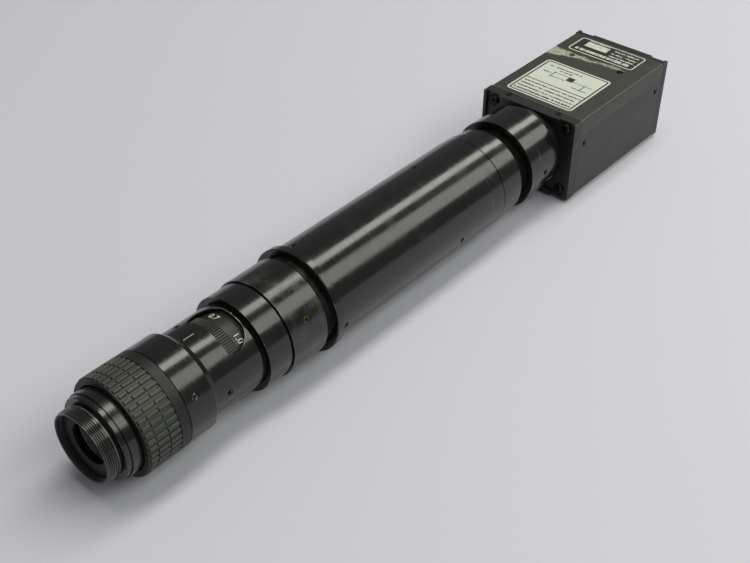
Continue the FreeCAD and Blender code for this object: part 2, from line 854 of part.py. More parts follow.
def make_zoom_ring():
    """The ring turned through the windows, and the cam tube that it turns."""
    band_radius = zoom_ring_radius - d.numeral_band_depth
    knurl_end = d.knurl_length
    band_end = knurl_end + d.numeral_band
    turned("zoom_ring", zoom_front + d.zoom_ring_inset, [
        (0, cam_radius + d.fit),
        (0, zoom_ring_radius),
        (knurl_end, zoom_ring_radius),
        (knurl_end, band_radius),
        (band_end, band_radius),
        (band_end, zoom_ring_radius),
        (d.zoom_ring_length, zoom_ring_radius),
        (d.zoom_ring_length, cam_radius + d.fit),
    ])
    cam = turned("cam_tube", cam_front, tube_outline(hub_front - d.end_gap - cam_front, cam_radius, cam_bore))
    helical_slot(cam, variator_station, d.variator_lead, True)
    helical_slot(cam, compensator_station, d.compensator_lead, False)


def make_moving_cells():
    """The two lens cells that slide in the guide tube, each driven by two pins."""
    for name, station, rise in (("variator", variator_station, d.moving_lens_rise),
                                ("compensator", compensator_station, -d.moving_lens_rise)):
        front = station - d.cell_length / 2
        lens_radius = cell_radius - d.cell_wall
        lip = d.cell_length / 2 - d.moving_lens_thickness / 2 - d.end_gap
        cell = turned(f"{name}_cell", front, [
            (0, lens_radius - d.cell_lip),
            (0, cell_radius),
            (d.cell_length, cell_radius),
            (d.cell_length, lens_radius),
            (lip, lens_radius),
            (lip, lens_radius - d.cell_lip),
        ])
        pin_seat = cell_radius - d.pin_depth
        radial_holes(cell, d.cell_length / 2, d.pin_angle, d.pin_radius + d.fit, 2, pin_seat)
        radial_pins(f"{name}_pins", station, d.pin_angle, d.pin_radius, pin_seat,
                    cam_radius - d.pin_drop, 2)
        lens(f"{name}_lens", front + lip + d.end_gap, lens_radius - d.fit,
             d.moving_lens_thickness, rise, -rise)


def make_rear_ring():
    """The engraved ring, its hub, and the rear lens in the spigot behind it."""
    tail_bore = spigot_radius + d.fit
    hub_start = d.tail_length + d.end_gap
    hub_end = hub_start + d.hub_length
    groove_end = d.rear_ring_length + d.rear_ring_groove
    spigot_end = groove_end + d.rear_spigot_length
    groove_radius = ring_radius - d.groove_depth
    cell_bore = d.rear_spigot_radius - d.rear_spigot_wall
    turned("rear_ring", rear_ring_front, [
        (0, tail_bore),
        (0, ring_radius),
        (d.rear_ring_length, ring_radius),
        (d.rear_ring_length, groove_radius),
        (groove_end, groove_radius),
        (groove_end, d.rear_spigot_radius),
        (spigot_end, d.rear_spigot_radius),
        (spigot_end, cell_bore),
        (hub_end, cell_bore),
        (hub_end, guide_radius + d.fit),
        (hub_start, guide_radius + d.fit),
        (hub_start, tail_bore),
    ])
    lens_bore = d.rear_lens_radius + d.fit
    turned("rear_lens_cell", hub_rear + d.fit, [
        (0, d.rear_lens_radius - d.rear_lens_lip),
        (0, cell_bore - d.fit),
        (d.rear_cell_length, cell_bore - d.fit),
        (d.rear_cell_length, lens_bore),
        (d.rear_lens_lip, lens_bore),
        (d.rear_lens_lip, d.rear_lens_radius - d.rear_lens_lip),
    ])
    lens("rear_lens", hub_rear + d.rear_lens_lip + d.end_gap, d.rear_lens_radius,
         d.rear_lens_thickness, -d.rear_lens_rise, d.rear_lens_rise)


def make_coupling_ring():
    """The ring that joins the zoom lens to the tube, with a plug that goes into the tube."""
    spigot_bore = d.rear_spigot_radius + d.fit
    taper_end = d.coupling_length + d.coupling_taper
    plug_end = taper_end + d.coupling_neck + d.tube_plug_length
    bore_step = d.rear_spigot_length + d.end_gap
    ring = turned("coupling_ring", coupling_front, [
        (0, spigot_bore),
        (0, d.coupling_radius),
        (d.coupling_length, d.coupling_radius),
        (taper_end, d.coupling_radius - d.coupling_taper_depth),
        (taper_end, plug_radius),
        (plug_end, plug_radius),
        (plug_end, d.coupling_bore),
        (bore_step, d.coupling_bore),
        (bore_step, spigot_bore),
    ])
    radial_holes(ring, d.coupling_screw_offset, d.coupling_screw_angle,
                 d.brass_screw_radius + d.fit, d.screws_round)
    set_screws("coupling_screws", coupling_front + d.coupling_screw_offset, d.coupling_screw_angle,
               d.brass_screw_radius, spigot_bore, d.coupling_radius)


def make_tube():
    """The extension tube with its flange, the lens in it, and the stop that keeps stray light out."""
    turned("tube_flange", flange_front, [
        (0, tube_bore),
        (0, d.flange_radius - d.flange_chamfer),
        (d.flange_chamfer, d.flange_radius),
        (d.flange_length - d.flange_chamfer, d.flange_radius),
        (d.flange_length, d.flange_radius - d.flange_chamfer),
        (d.flange_length, tube_bore),
    ])
    tube = turned("main_tube", tube_front, tube_outline(d.tube_length, d.tube_radius, tube_bore))
    cell_middle = d.tube_cell_front + d.tube_cell_length / 2
    for name, along in (("tube_front_screws", d.tube_screw_offset), ("tube_rear_screws", cell_middle)):
        radial_holes(tube, along, d.tube_screw_angle, d.set_screw_radius + d.fit, d.screws_round)
        set_screws(name, tube_front + along, d.tube_screw_angle, d.set_screw_radius,
                   tube_bore, d.tube_radius)
    cell_front = tube_front + d.tube_cell_front
    lens_bore = d.tube_lens_radius + d.fit
    lens_start = d.tube_retainer_length + d.end_gap
    lip_start = lens_start + d.tube_lens_thickness + d.end_gap
    turned("tube_lens_cell", cell_front, [
        (0, lens_bore),
        (0, plug_radius),
        (d.tube_cell_length, plug_radius),
        (d.tube_cell_length, d.tube_lens_radius - d.tube_lens_lip),
        (lip_start, d.tube_lens_radius - d.tube_lens_lip),
        (lip_start, lens_bore),
    ])
    turned("tube_lens_retainer", cell_front,
           tube_outline(d.tube_retainer_length, d.tube_lens_radius, d.tube_lens_radius - d.tube_lens_lip))
    lens("tube_lens", cell_front + lens_start, d.tube_lens_radius,
         d.tube_lens_thickness, -d.tube_lens_rise, d.tube_lens_rise)
    shade_radius = plug_radius - d.baffle_rim
    edge_front = (d.baffle_length - d.baffle_edge) / 2
    turned("tube_baffle", tube_front + d.baffle_front, [
        (0, shade_radius),
        (0, plug_radius),
        (d.baffle_length, plug_radius),
        (d.baffle_length, shade_radius),
        (edge_front + d.baffle_edge, d.baffle_aperture),
        (edge_front, d.baffle_aperture),
    ])


def make_rear_rings():
    """The rings behind the tube: band, step, tapered adapter and the two rings of the coupler."""
    band_end = d.band_plug_length + d.band_length
    groove_end = band_end + d.band_groove
    tail_end = groove_end + d.band_tail_length
    turned("band_ring", tube_rear - d.band_plug_length, [
        (0, d.band_bore),
        (0, plug_radius),
        (d.band_plug_length, plug_radius),
        (d.band_plug_length, d.tube_radius),
        (band_end, d.tube_radius),
        (band_end, d.step_radius - d.band_groove_depth),
        (groove_end, d.step_radius - d.band_groove_depth),
        (groove_end, d.band_tail_radius),
        (tail_end, d.band_tail_radius),
        (tail_end, d.band_bore),
    ])
    tail_bore = d.band_tail_radius + d.fit
    turned("step_ring", step_front, tube_outline(d.step_length, d.step_radius, tail_bore))
    taper_end = d.adapter_length + d.adapter_taper
    neck_end = taper_end + d.adapter_neck
    adapter_step = d.band_tail_length - d.step_length + d.end_gap
    turned("adapter_ring", adapter_front, [
        (0, tail_bore),
        (0, d.adapter_radius),
        (d.adapter_length, d.adapter_radius),
        (taper_end, d.adapter_end_radius),
        (taper_end, d.adapter_neck_radius),
        (neck_end, d.adapter_neck_radius),
        (neck_end, d.adapter_tail_radius),
        (neck_end + d.adapter_tail_length, d.adapter_tail_radius),
        (neck_end + d.adapter_tail_length, d.adapter_bore),
        (adapter_step, d.adapter_bore),
        (adapter_step, tail_bore),
    ])
    ring_bore = d.adapter_tail_radius + d.fit
    turned("coupler_front_ring", coupler_front,
           tube_outline(d.coupler_front_length, d.coupler_front_radius, ring_bore))
    thread_end = d.coupler_rear_length + d.cmount_thread_length
    bore_step = coupler_front + d.adapter_tail_length + d.end_gap - coupler_rear
    rear = turned("coupler_rear_ring", coupler_rear, [
        (0, ring_bore),
        (0, d.coupler_rear_radius),
        (d.coupler_rear_length - d.coupler_chamfer, d.coupler_rear_radius),
        (d.coupler_rear_length, d.coupler_rear_radius - d.coupler_chamfer),
        (d.coupler_rear_length, d.cmount_radius),
        (thread_end, d.cmount_radius),
        (thread_end, d.coupler_bore),
        (bore_step, d.coupler_bore),
        (bore_step, ring_bore),
    ])
    radial_holes(rear, d.coupler_screw_offset, d.coupler_screw_angle,
                 d.brass_screw_radius + d.fit, d.screws_round)
    set_screws("coupler_screws", coupler_rear + d.coupler_screw_offset, d.coupler_screw_angle,
               d.brass_screw_radius, ring_bore, d.coupler_rear_radius)


def spots_sketch(body, name, along, spots, radius):
    """Equal circles at several spots of a plane across the axis."""
    sketch = new_sketch(body, name, "YZ_Plane", along)
    for side, height in spots:
        circle(sketch, radius, side, height)
    return sketch


def cut_face_recess(frame, along, face):
    """Sinks a frame's outer face inside its rim, and notches the rim at the four corner screws."""
    inside = half_width - d.frame_rim
    cut_block(frame, along, rectangle(-inside, bottom + d.frame_rim, inside, d.camera_top - d.frame_rim),
              d.face_recess)
    for side in (-1, 1):
        near = d.lip_half_width * side
        far = inside * side
        notch = rectangle(near, bottom - d.frame_rim, far, d.camera_top + d.frame_rim)
        cut_block(frame, along, notch, d.face_recess)
    floor = along + d.face_recess if face < 0 else along - d.counterbore_depth
    sinks = spots_sketch(frame, "counterbores", floor, rail_spots, d.counterbore_radius)
    pocket(frame, sinks, d.counterbore_depth, outward=True)


def add_ears(frame, along):
    """Two inner ears that the side screws of the cover go into."""
    outer = half_inside - d.fit
    for side in (-1, 1):
        ear = rectangle(outer * side, d.ear_bottom, (outer - d.ear_thickness) * side, d.ear_top)
        add_block(frame, along, ear, d.ear_length)


def drill_sides(body, along, radius, outer, depth):
    """Drills the same hole inwards from both sides."""
    for side in (-1, 1):
        sketch = new_sketch(body, "side_hole", "XZ_Plane", outer * side)
        circle(sketch, radius, along, d.side_screw_height)
        pocket(body, sketch, depth, outward=side < 0)


def make_front_frame():
    """The cast front: a rimmed plate with the lens boss, the filter seat and two ears."""
    frame = prism("front_frame", camera_front,
                  rectangle(-half_width, bottom, half_width, d.camera_top), d.frame_thickness)
    cut_face_recess(frame, as_size(0), -1)
    boss = new_sketch(frame, "boss", "YZ_Plane", -d.boss_length)
    circle(boss, d.boss_radius)
    pad(frame, boss, d.boss_length + d.face_recess)
    cut_round(frame, -d.boss_length, d.cmount_radius + d.running_gap, d.boss_length + d.frame_thickness)
    filter_boss = new_sketch(frame, "filter_boss", "YZ_Plane", d.frame_thickness)
    circle(filter_boss, d.filter_boss_radius)
    circle(filter_boss, d.sensor_bore)
    pad(frame, filter_boss, d.filter_boss_length)
    seat = d.frame_thickness + d.filter_seat
    cut_round(frame, seat, d.filter_radius + d.fit, d.filter_boss_length)
    add_ears(frame, d.frame_thickness)
    holes = spots_sketch(frame, "screw_holes", 0, rail_spots, d.housing_screw_radius + d.fit)
    pocket(frame, holes, d.frame_thickness, outward=True)
    drill_sides(frame, d.side_screw_inset, d.side_screw_radius + d.fit, half_inside, d.ear_thickness)
    for side in (-1, 1):
        drill(frame, d.strip_screw_place, d.strip_screw_half_pitch * side,
              d.strip_screw_radius + d.fit, d.camera_top, d.strip_screw_length, False)
    turned("ir_filter", camera_front + seat + d.fit, [
        (0, 0),
        (0, d.filter_radius),
        (d.filter_thickness, d.filter_radius),
        (d.filter_thickness, 0),
    ])


def make_rear_frame():
    """The cast back: a rimmed plate with holes for the two connectors, and two ears."""
    ear_station = rear_frame_front - d.ear_length
    frame = prism("rear_frame", camera_front + rear_frame_front,
                  rectangle(-half_width, bottom, half_width, d.camera_top), d.rear_frame_thickness)
    cut_face_recess(frame, d.rear_frame_thickness - d.face_recess, 1)
    add_ears(frame, -d.ear_length)
    holes = spots_sketch(frame, "screw_holes", 0, rail_spots, d.housing_screw_radius + d.fit)
    pocket(frame, holes, d.rear_frame_thickness, outward=True)
    rear_screw = d.camera_length - d.rear_screw_inset - rear_frame_front
    drill_sides(frame, rear_screw, d.side_screw_radius + d.fit, half_inside, d.ear_thickness)
    for side, radius in ((1, d.bnc_radius), (-1, d.power_radius)):
        cut_round(frame, 0, radius + d.fit, d.rear_frame_thickness,
                  d.connector_half_pitch * side, box_middle)


def round_edges(body, feature, level):
    """Rounds a cover's two long outer edges at one level."""
    DOC.recompute()
    names = []
    for number, edge in enumerate(feature.Shape.Edges, start=1):
        box = edge.BoundBox
        straight = box.YLength + box.ZLength < CLOSE
        outer = abs(abs(box.Center.y) - half_width.value) < CLOSE
        if straight and outer and abs(box.Center.z - level.value) < CLOSE:
            names.append(f"Edge{number}")
    fillet = body.newObject("PartDesign::Fillet", f"{body.Label}_rounding")
    fillet.Base = (feature, names)
    fillet.setExpression("Radius", d.cover_round.text)


def make_covers():
    """The two folded covers that meet along a seam on each side."""
    front = d.frame_thickness + d.seam
    length = rear_frame_front - d.seam - front
    skirt = d.camera_top - d.cover_skirt
    upper = new_body("upper_cover", camera_front + front)
    section = new_sketch(upper, "section", "YZ_Plane", 0)
    polygon(section, [
        (-half_width, skirt), (-half_width, d.camera_top), (half_width, d.camera_top), (half_width, skirt),
        (half_inside, skirt), (half_inside, ceiling), (-half_inside, ceiling), (-half_inside, skirt),
    ])
    round_edges(upper, pad(upper, section, length), d.camera_top)
    seam = skirt - d.seam
    lower = new_body("lower_cover", camera_front + front)
    section = new_sketch(lower, "section", "YZ_Plane", 0)
    polygon(section, [
        (-half_width, seam), (-half_width, bottom), (half_width, bottom), (half_width, seam),
        (half_inside, seam), (half_inside, box_floor), (-half_inside, box_floor), (-half_inside, seam),
    ])
    round_edges(lower, pad(lower, section, length), bottom)
    hole_along = d.mount_hole_place - front
    for side in (-1, 1):
        across = d.mount_hole_half_pitch * side
        drill(upper, hole_along, across, d.mount_hole_radius, d.camera_top, d.cover_wall, False)
        drill(lower, hole_along, across, d.mount_hole_radius, box_floor, d.cover_wall, False)
    drill(lower, hole_along, 0, d.tripod_radius, box_floor, d.cover_wall, False)
    rear_screw = d.camera_length - d.rear_screw_inset
    for station in (d.side_screw_inset, rear_screw):
        drill_sides(lower, station - front, d.side_head_radius + d.fit, half_width, d.cover_wall)


def make_mount_bars():
    """The tapped bars behind the mounting holes in the top and the bottom."""
    station = camera_front + d.mount_hole_place - d.bar_width / 2
    for name, low, high in (
        ("top_mount_bar", ceiling - d.bar_thickness, ceiling - d.fit),
        ("bottom_mount_bar", box_floor + d.fit, box_floor + d.bar_thickness),
    ):
        bar = prism(name, station, rectangle(-d.bar_half_length, low, d.bar_half_length, high), d.bar_width)
        for side in (-1, 1):
            drill(bar, d.bar_width / 2, d.mount_hole_half_pitch * side, d.mount_hole_radius,
                  high, d.bar_thickness, False)
        if name == "bottom_mount_bar":
            drill(bar, d.bar_width / 2, 0, d.tripod_radius, high, d.bar_thickness, False)


def make_rails_and_screws():
    """The four corner rails, and the screws that hold the frames and the covers to them."""
    rails = new_body("corner_rails", camera_front + d.frame_thickness)
    length = rear_frame_front - d.frame_thickness
    pad(rails, spots_sketch(rails, "rails", 0, rail_spots, d.rail_radius), length)
    tapped = d.housing_screw_length + d.fit
    for along in (as_size(0), length - tapped):
        pocket(rails, spots_sketch(rails, "tapped", along, rail_spots, d.housing_screw_radius + d.fit),
               tapped, outward=True)
    shank_length = d.housing_screw_length - d.end_gap
    for name, floor, ahead in (
        ("front_screws", d.face_recess + d.counterbore_depth, False),
        ("rear_screws", d.camera_length - d.face_recess - d.counterbore_depth, True),
    ):
        screws = new_body(name, camera_front + floor)
        head = pad(screws, spots_sketch(screws, "heads", 0, rail_spots, d.screw_head_radius),
                   d.screw_head_height)
        head.Reversed = not ahead
        shank = pad(screws, spots_sketch(screws, "shanks", 0, rail_spots, d.housing_screw_radius),
                    shank_length)
        shank.Reversed = ahead
    strip = new_body("strip_screws", camera_front + d.strip_screw_place)
    sketch = new_sketch(strip, "screws", "XY_Plane", d.camera_top - d.strip_screw_length)
    for side in (-1, 1):
        circle(sketch, d.strip_screw_radius, 0, d.strip_screw_half_pitch * side)
    pad(strip, sketch, d.strip_screw_length - d.strip_screw_sink)
    sides = new_body("side_screws", camera_front)
    rear_screw = d.camera_length - d.rear_screw_inset
    for side in (-1, 1):
        for name, radius, level, reach in (
            ("heads", d.side_head_radius, half_inside, d.cover_wall - d.side_screw_sink),
            ("shanks", d.side_screw_radius, half_inside - d.side_shank_length, d.side_shank_length),
        ):
            sketch = new_sketch(sides, name, "XZ_Plane", level * side)
            for along in (d.side_screw_inset, rear_screw):
                circle(sketch, radius, along, d.side_screw_height)
            pad(sides, sketch, reach).Reversed = side < 0


def make_boards():
    """The image sensor and the three circuit boards, held one behind another on hexagonal posts."""
    chip_station = camera_front + d.sensor_place
    prism("image_sensor", chip_station,
          rectangle(-d.sensor_half_width, -d.sensor_half_height, d.sensor_half_width, d.sensor_half_height),
          d.sensor_thickness)
    board = rectangle(-d.board_half_width, board_bottom, d.board_half_width, board_top)
    for name, front in (
        ("sensor_board", sensor_board_front),
        ("signal_board", signal_board_front),
        ("power_board", power_board_front),
    ):
        prism(name, camera_front + front, board, d.board_thickness)
    levels = (board_bottom + d.post_inset, board_top - d.post_inset)
    posts = new_body("board_posts", camera_front + d.frame_thickness)
    starts = [d.frame_thickness, sensor_board_front + d.board_thickness, signal_board_front + d.board_thickness]
    ends = [sensor_board_front, signal_board_front, power_board_front]
    for start, end in zip(starts, ends):
        sketch = new_sketch(posts, "posts", "YZ_Plane", start - d.frame_thickness)
        for side in (-1, 1):
            for level in levels:
                polygon(sketch, regular_outline(d.post_radius, HEXAGON, d.post_half_width * side, level))
        pad(posts, sketch, end - start)


def connector_spot(side):
    return d.connector_half_pitch * side, box_middle


def make_video_connector():
    """The bayonet connector for the video signal: shell, insulator and contact."""
    side, height = connector_spot(1)
    station = camera_rear - d.face_recess - d.connector_tail
    flange_end = d.connector_tail + d.bnc_flange
    mouth = d.connector_tail + d.face_recess + d.bnc_length
    bore_floor = flange_end + d.bnc_flange / 2
    core_hole = d.bnc_insulator_radius + d.fit
    shell = turned("bnc_shell", station, [
        (0, core_hole),
        (0, d.bnc_radius),
        (d.connector_tail, d.bnc_radius),
        (d.connector_tail, d.bnc_flange_radius),
        (flange_end, d.bnc_flange_radius),
        (flange_end, d.bnc_radius),
        (mouth, d.bnc_radius),
        (mouth, d.bnc_bore),
        (bore_floor, d.bnc_bore),
        (bore_floor, core_hole),
    ], side, height)
    lug = new_sketch(shell, "lug", "XY_Plane", (d.bnc_radius + d.bnc_bore) / 2, 0)
    circle(lug, d.bnc_lug_radius, mouth - d.bnc_lug_inset)
    repeat_round(shell, [pad(shell, lug, d.bnc_lug_height)], 2)
    contact_hole = d.bnc_contact_radius + d.fit
    turned("bnc_insulator", station,
           tube_outline(mouth - d.bnc_core_inset, d.bnc_insulator_radius, contact_hole), side, height)
    turned("bnc_contact", station, [
        (0, 0),
        (0, d.bnc_contact_radius),
        (mouth - d.bnc_contact_inset, d.bnc_contact_radius),
        (mouth - d.bnc_contact_inset, 0),
    ], side, height)


def make_power_connector():
    """The round twelve-way connector for power: shell, insert and pins."""
    side, height = connector_spot(-1)
    station = camera_rear - d.face_recess - d.connector_tail
    flange_end = d.connector_tail + d.bnc_flange
    mouth = d.connector_tail + d.face_recess + d.power_length
    bore = d.power_radius - d.power_wall
    turned("power_shell", station, [
        (0, bore),
        (0, d.power_radius),
        (d.connector_tail, d.power_radius),
        (d.connector_tail, d.power_flange_radius),
        (flange_end, d.power_flange_radius),
        (flange_end, d.power_radius),
        (mouth, d.power_radius),
        (mouth, bore),
    ], side, height)
    rings = (
        (d.power_outer_pins, d.power_pin_circle),
        (d.power_inner_pins, d.power_pin_inner_circle),
    )
    insert_radius = bore - d.fit
    insert = turned("power_insert", station, [
        (0, 0),
        (0, insert_radius),
        (flange_end, insert_radius),
        (flange_end, 0),
    ], side, height)
    pins = new_body("power_pins", station, side, height)
    for count, pitch_radius in rings:
        hole = new_sketch(insert, "pin_hole", "YZ_Plane", 0)
        polygon(hole, regular_outline(d.power_pin_radius + d.fit, OCTAGON, 0, pitch_radius))
        repeat_round(insert, [pocket(insert, hole, outward=True)], count)
        pin = new_sketch(pins, "pin", "YZ_Plane", 0)
        polygon(pin, regular_outline(d.power_pin_radius, OCTAGON, 0, pitch_radius))
        repeat_round(pins, [pad(pins, pin, mouth - d.power_pin_inset)], count)


def check_model():
    """Stops before anything is written if an object failed or a cut took nothing away."""
    for item in DOC.Objects:
        if "Invalid" in item.State or "Error" in item.State:
            raise RuntimeError(f"{item.Label} failed: {item.State}")
        if item.TypeId == "PartDesign::Pocket" and item.Shape.Volume >= item.BaseFeature.Shape.Volume:
            raise RuntimeError(f"{item.Label} cuts nothing")


def write_parts():
    """Writes each sub-part that no other sub-part is made from."""
    os.makedirs("parts", exist_ok=True)
    for item in DOC.Objects:
        whole = item.TypeId in ("PartDesign::Body", "Part::Cut")
        used = any(user.TypeId.startswith("Part::") for user in item.InList)
        if not whole or used:
            continue
        if item.Shape.isNull() or not item.Shape.isValid():
            raise RuntimeError(f"{item.Label} has no valid shape")
        item.Shape.exportStep(f"parts/{item.Label}.step")


make_front_cell()
make_focus_ring()
make_front_barrel()
make_zoom_barrel()
make_zoom_ring()
make_moving_cells()
make_rear_ring()
make_coupling_ring()
make_tube()
make_rear_rings()
make_front_frame()
make_rear_frame()
make_covers()
make_mount_bars()
make_rails_and_screws()
make_boards()
make_video_connector()
make_power_connector()
DOC.recompute()
check_model()
write_parts()
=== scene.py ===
"""Finishes a machine vision camera: a zoom microscope lens, its extension tube and the video camera.

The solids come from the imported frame. This file gives every one of them its finish, and models what is
too fine for them: threads, knurls, moulded ribs, engraved figures, screw heads and labels.
Lengths are in metres, as Blender's are, and in millimetres inside the materials. The optical axis runs
along X, and angles round it are measured from the top towards -Y.
"""

import json
import math

import bmesh
import bpy
from bpy.props import FloatProperty, FloatVectorProperty, IntProperty, PointerProperty
from mathutils import Matrix, Vector


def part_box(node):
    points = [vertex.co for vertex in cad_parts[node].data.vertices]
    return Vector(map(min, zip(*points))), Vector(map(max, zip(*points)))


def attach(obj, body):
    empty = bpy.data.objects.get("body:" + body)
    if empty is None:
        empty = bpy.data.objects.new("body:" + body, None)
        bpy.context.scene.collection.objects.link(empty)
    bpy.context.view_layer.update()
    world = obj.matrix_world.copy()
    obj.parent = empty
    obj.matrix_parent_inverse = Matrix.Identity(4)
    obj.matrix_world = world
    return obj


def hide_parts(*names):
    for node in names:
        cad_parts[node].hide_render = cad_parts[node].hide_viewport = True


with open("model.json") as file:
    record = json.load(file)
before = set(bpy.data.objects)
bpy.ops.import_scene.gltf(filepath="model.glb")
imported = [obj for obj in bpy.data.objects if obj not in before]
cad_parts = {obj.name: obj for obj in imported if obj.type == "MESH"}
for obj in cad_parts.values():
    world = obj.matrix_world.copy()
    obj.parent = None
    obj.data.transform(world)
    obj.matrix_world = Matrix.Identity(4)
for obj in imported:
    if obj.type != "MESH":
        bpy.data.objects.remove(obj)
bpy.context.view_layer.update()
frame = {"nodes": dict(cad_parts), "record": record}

bl_info = {
    "name": "Machine Vision Camera",
    "version": (1, 0, 0),
    "blender": (4, 5, 0),
    "location": "View3D > Sidebar > Vision Camera",
    "description": "Finishes a machine vision camera and sets it on a studio stage",
    "category": "Object",
}

MM = 0.001
AXIS = Vector((0, 0, sum(corner.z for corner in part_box("main_tube")) / 2))
CAMERA_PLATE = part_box("front_screws")[0].x
ROUND_STEPS = 192
SEAT_GAP = 0.02 * MM


def node_radius(node):
    """The largest radius of a turned node."""
    low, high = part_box(node)
    return (high.y - low.y) / 2


# ---------------------------------------------------------------- sizes and colours


def length(name, description, millimetres, least=0.0):
    return FloatProperty(name=name, description=description, default=millimetres * MM,
                         unit="LENGTH", precision=5, min=least)


def place(name, description, millimetres):
    return length(name, description, millimetres, -10.0)


def angle(name, description, degrees):
    return FloatProperty(name=name, description=description, default=math.radians(degrees),
                         subtype="ANGLE")


def colour(name, description, rgb):
    return FloatVectorProperty(name=name, description=description, default=rgb,
                               subtype="COLOR", size=3, min=0, max=1)


def amount(name, description, share):
    return FloatProperty(name=name, description=description, default=share, min=0, max=1,
                         subtype="FACTOR")


def power(name, description, watts):
    return FloatProperty(name=name, description=description, default=watts, min=0, unit="POWER")


def count(name, description, number):
    return IntProperty(name=name, description=description, default=number, min=1)


class FinishSettings(bpy.types.PropertyGroup):
    anodise: colour("Anodising", "Colour of the black anodised rings", (0.0065, 0.0060, 0.0056))
    # The worn colour serves partly as painted highlight: on rims, box edges, thread crests and the windows'
    # rear edges.
    worn: colour("Worn edge", "Colour of edges rubbed through to the metal", (0.30, 0.29, 0.26))
    grey_anodise: colour("Grey anodising", "Colour of the blasted focus ring", (0.0095, 0.0098, 0.0090))
    ring: colour("Zoom ring", "Colour of the zoom ring's plain band", (0.022, 0.025, 0.021))
    knurl: colour("Knurl", "Colour of the crests of the zoom ring's knurl", (0.058, 0.062, 0.053))
    rubber: colour("Rubber", "Colour of the focus grip", (0.044, 0.049, 0.040))
    dust: colour("Dust", "Colour of dust on the rubber and the rings", (0.34, 0.34, 0.29))
    top_paint: colour("Top paint", "Colour of the camera's top cover", (0.030, 0.033, 0.025))
    side_paint: colour("Side paint", "Colour of the camera's sides", (0.0175, 0.018, 0.0165))
    # The frames' paint is darker than the covers': partly their own black paint, partly painted shade over
    # the shaded front plate.
    frame_paint_and_shade: colour("Frame paint", "Colour of the two cast frames", (0.010, 0.0105, 0.0095))
    residue: colour("Residue", "Colour of the old adhesive on the top cover", (0.40, 0.39, 0.31))
    brass: colour("Brass", "Colour of the brass set screws", (0.22, 0.145, 0.075))
    figures: colour("Figures", "Colour of the painted figures", (0.72, 0.74, 0.66))
    lines: colour("Lines", "Colour of the index lines", (0.42, 0.42, 0.37))
    anodise_roughness: amount("Anodising roughness", "Roughness of the black anodised rings", 0.18)
    paint_roughness: amount("Paint roughness", "Roughness of the camera's paint", 0.46)


class NoseSettings(bpy.types.PropertyGroup):
    thread_radius: length("Thread radius", "Radius over the crests of the front thread", 10.9)
    thread_depth: length("Thread depth", "Height of the front thread's ridges", 0.32)
    thread_root: length("Thread root", "Depth that the ridges are sunk into the nose", 0.03)
    thread_pitch: length("Thread pitch", "Distance from one ridge to the next", 0.6)
    thread_turns: count("Thread turns", "Turns of the front thread", 5)
    thread_start: length("Thread start", "Plain rim in front of the thread", 0.4)
    land_drop: length("Land drop", "Depth of the plain land below the crests", 0.05)
    land_end: length("Land end", "From the rim to the groove behind the thread", 4.0)
    groove_width: length("Groove width", "Width of the groove behind the thread", 0.6)
    groove_depth: length("Groove depth", "Depth of that groove below the crests", 0.7)
    neck_radius: length("Neck radius", "Radius of the neck behind the groove", 12.6)
    neck_length: length("Neck length", "Length of the neck", 1.7)
    bore_radius: length("Bore radius", "Radius of the nose's bore", 9.9)
    bore_thread_start: length("Bore thread start", "From the rim to the thread in the bore", 0.6)
    bore_thread_pitch: length("Bore thread pitch", "Pitch of the fine thread in the bore", 0.35)
    bore_thread_depth: length("Bore thread depth", "Height of its ridges", 0.12)
    bore_thread_root: length("Bore thread root", "Depth that its ridges are sunk", 0.02)
    bore_thread_turns: count("Bore thread turns", "Turns of the fine thread", 4)
    wall: length("Wall", "Wall of the nose behind the lens", 1.5)
    stop_radius: length("Stop radius", "Radius of the opening behind the lens", 5.8)
    stop_front: length("Stop front", "From the lens to the front of that opening", 0.4)
    stop_rear: length("Stop rear", "From the lens to the back of that opening", 1.2)
    edge: length("Edge", "Chamfer of the rim", 0.3)


class GripSettings(bpy.types.PropertyGroup):
    rows: FloatVectorProperty(name="Rows", description="Lengths of the three rows of ribs",
                              default=(2.8 * MM, 4.0 * MM, 3.95 * MM), size=3, unit="LENGTH", precision=5)
    ribs: count("Ribs", "Ribs in each row", 45)
    first_rib: angle("First rib", "Turn of the first rib from the top", 4.25)
    rib_width: length("Rib width", "Width of a rib round the ring", 1.2)
    rib_height: length("Rib height", "Height of a rib above its grooves", 0.52)
    rib_root: length("Rib root", "Depth that a rib is sunk into the rubber", 0.2)
    rib_round: length("Rib rounding", "Radius of a rib's long moulded edges", 0.36)
    row_gap: length("Row gap", "Gap between the ribs of two rows", 0.38)
    thickness: length("Thickness", "Thickness of the rubber under the crests", 0.78)


class ZoomRingSettings(bpy.types.PropertyGroup):
    knurl_length: length("Knurl length", "Length of the knurled part", 3.9)
    knurls: count("Knurls", "Ridges round the ring", 96)
    knurl_depth: length("Knurl depth", "Height of the ridges", 0.4)
    knurl_root: length("Knurl root", "Depth that a ridge is sunk into the ring", 0.1)
    knurl_gap: length("Knurl gap", "What a ridge is shorter than the knurled part", 0.1)
    knurl_share: amount("Knurl share", "Share of the pitch that a ridge's foot takes", 0.62)
    crest_share: amount("Crest share", "Share of the foot's width that its crest takes", 0.45)
    crest_length: amount("Crest length", "Share of the foot's length that its crest takes", 0.95)
    band_depth: length("Band depth", "Depth of the plain band below the rim", 0.2)
    band_length: length("Numeral band", "Length of the plain band with the figures", 4.0)
    figure_height: length("Figure height", "Height of the figures", 1.95)
    figure_depth: length("Figure depth", "Thickness of the figures' paint", 0.02)
    first_angle: angle("First figure", "Angle of the lowest magnification", -10)
    last_angle: angle("Last figure", "Angle of the highest magnification", 124.5)
    spacing: FloatProperty(name="Spacing", description="How the figures crowd towards the high end",
                           default=0.624, min=0.1, max=2)


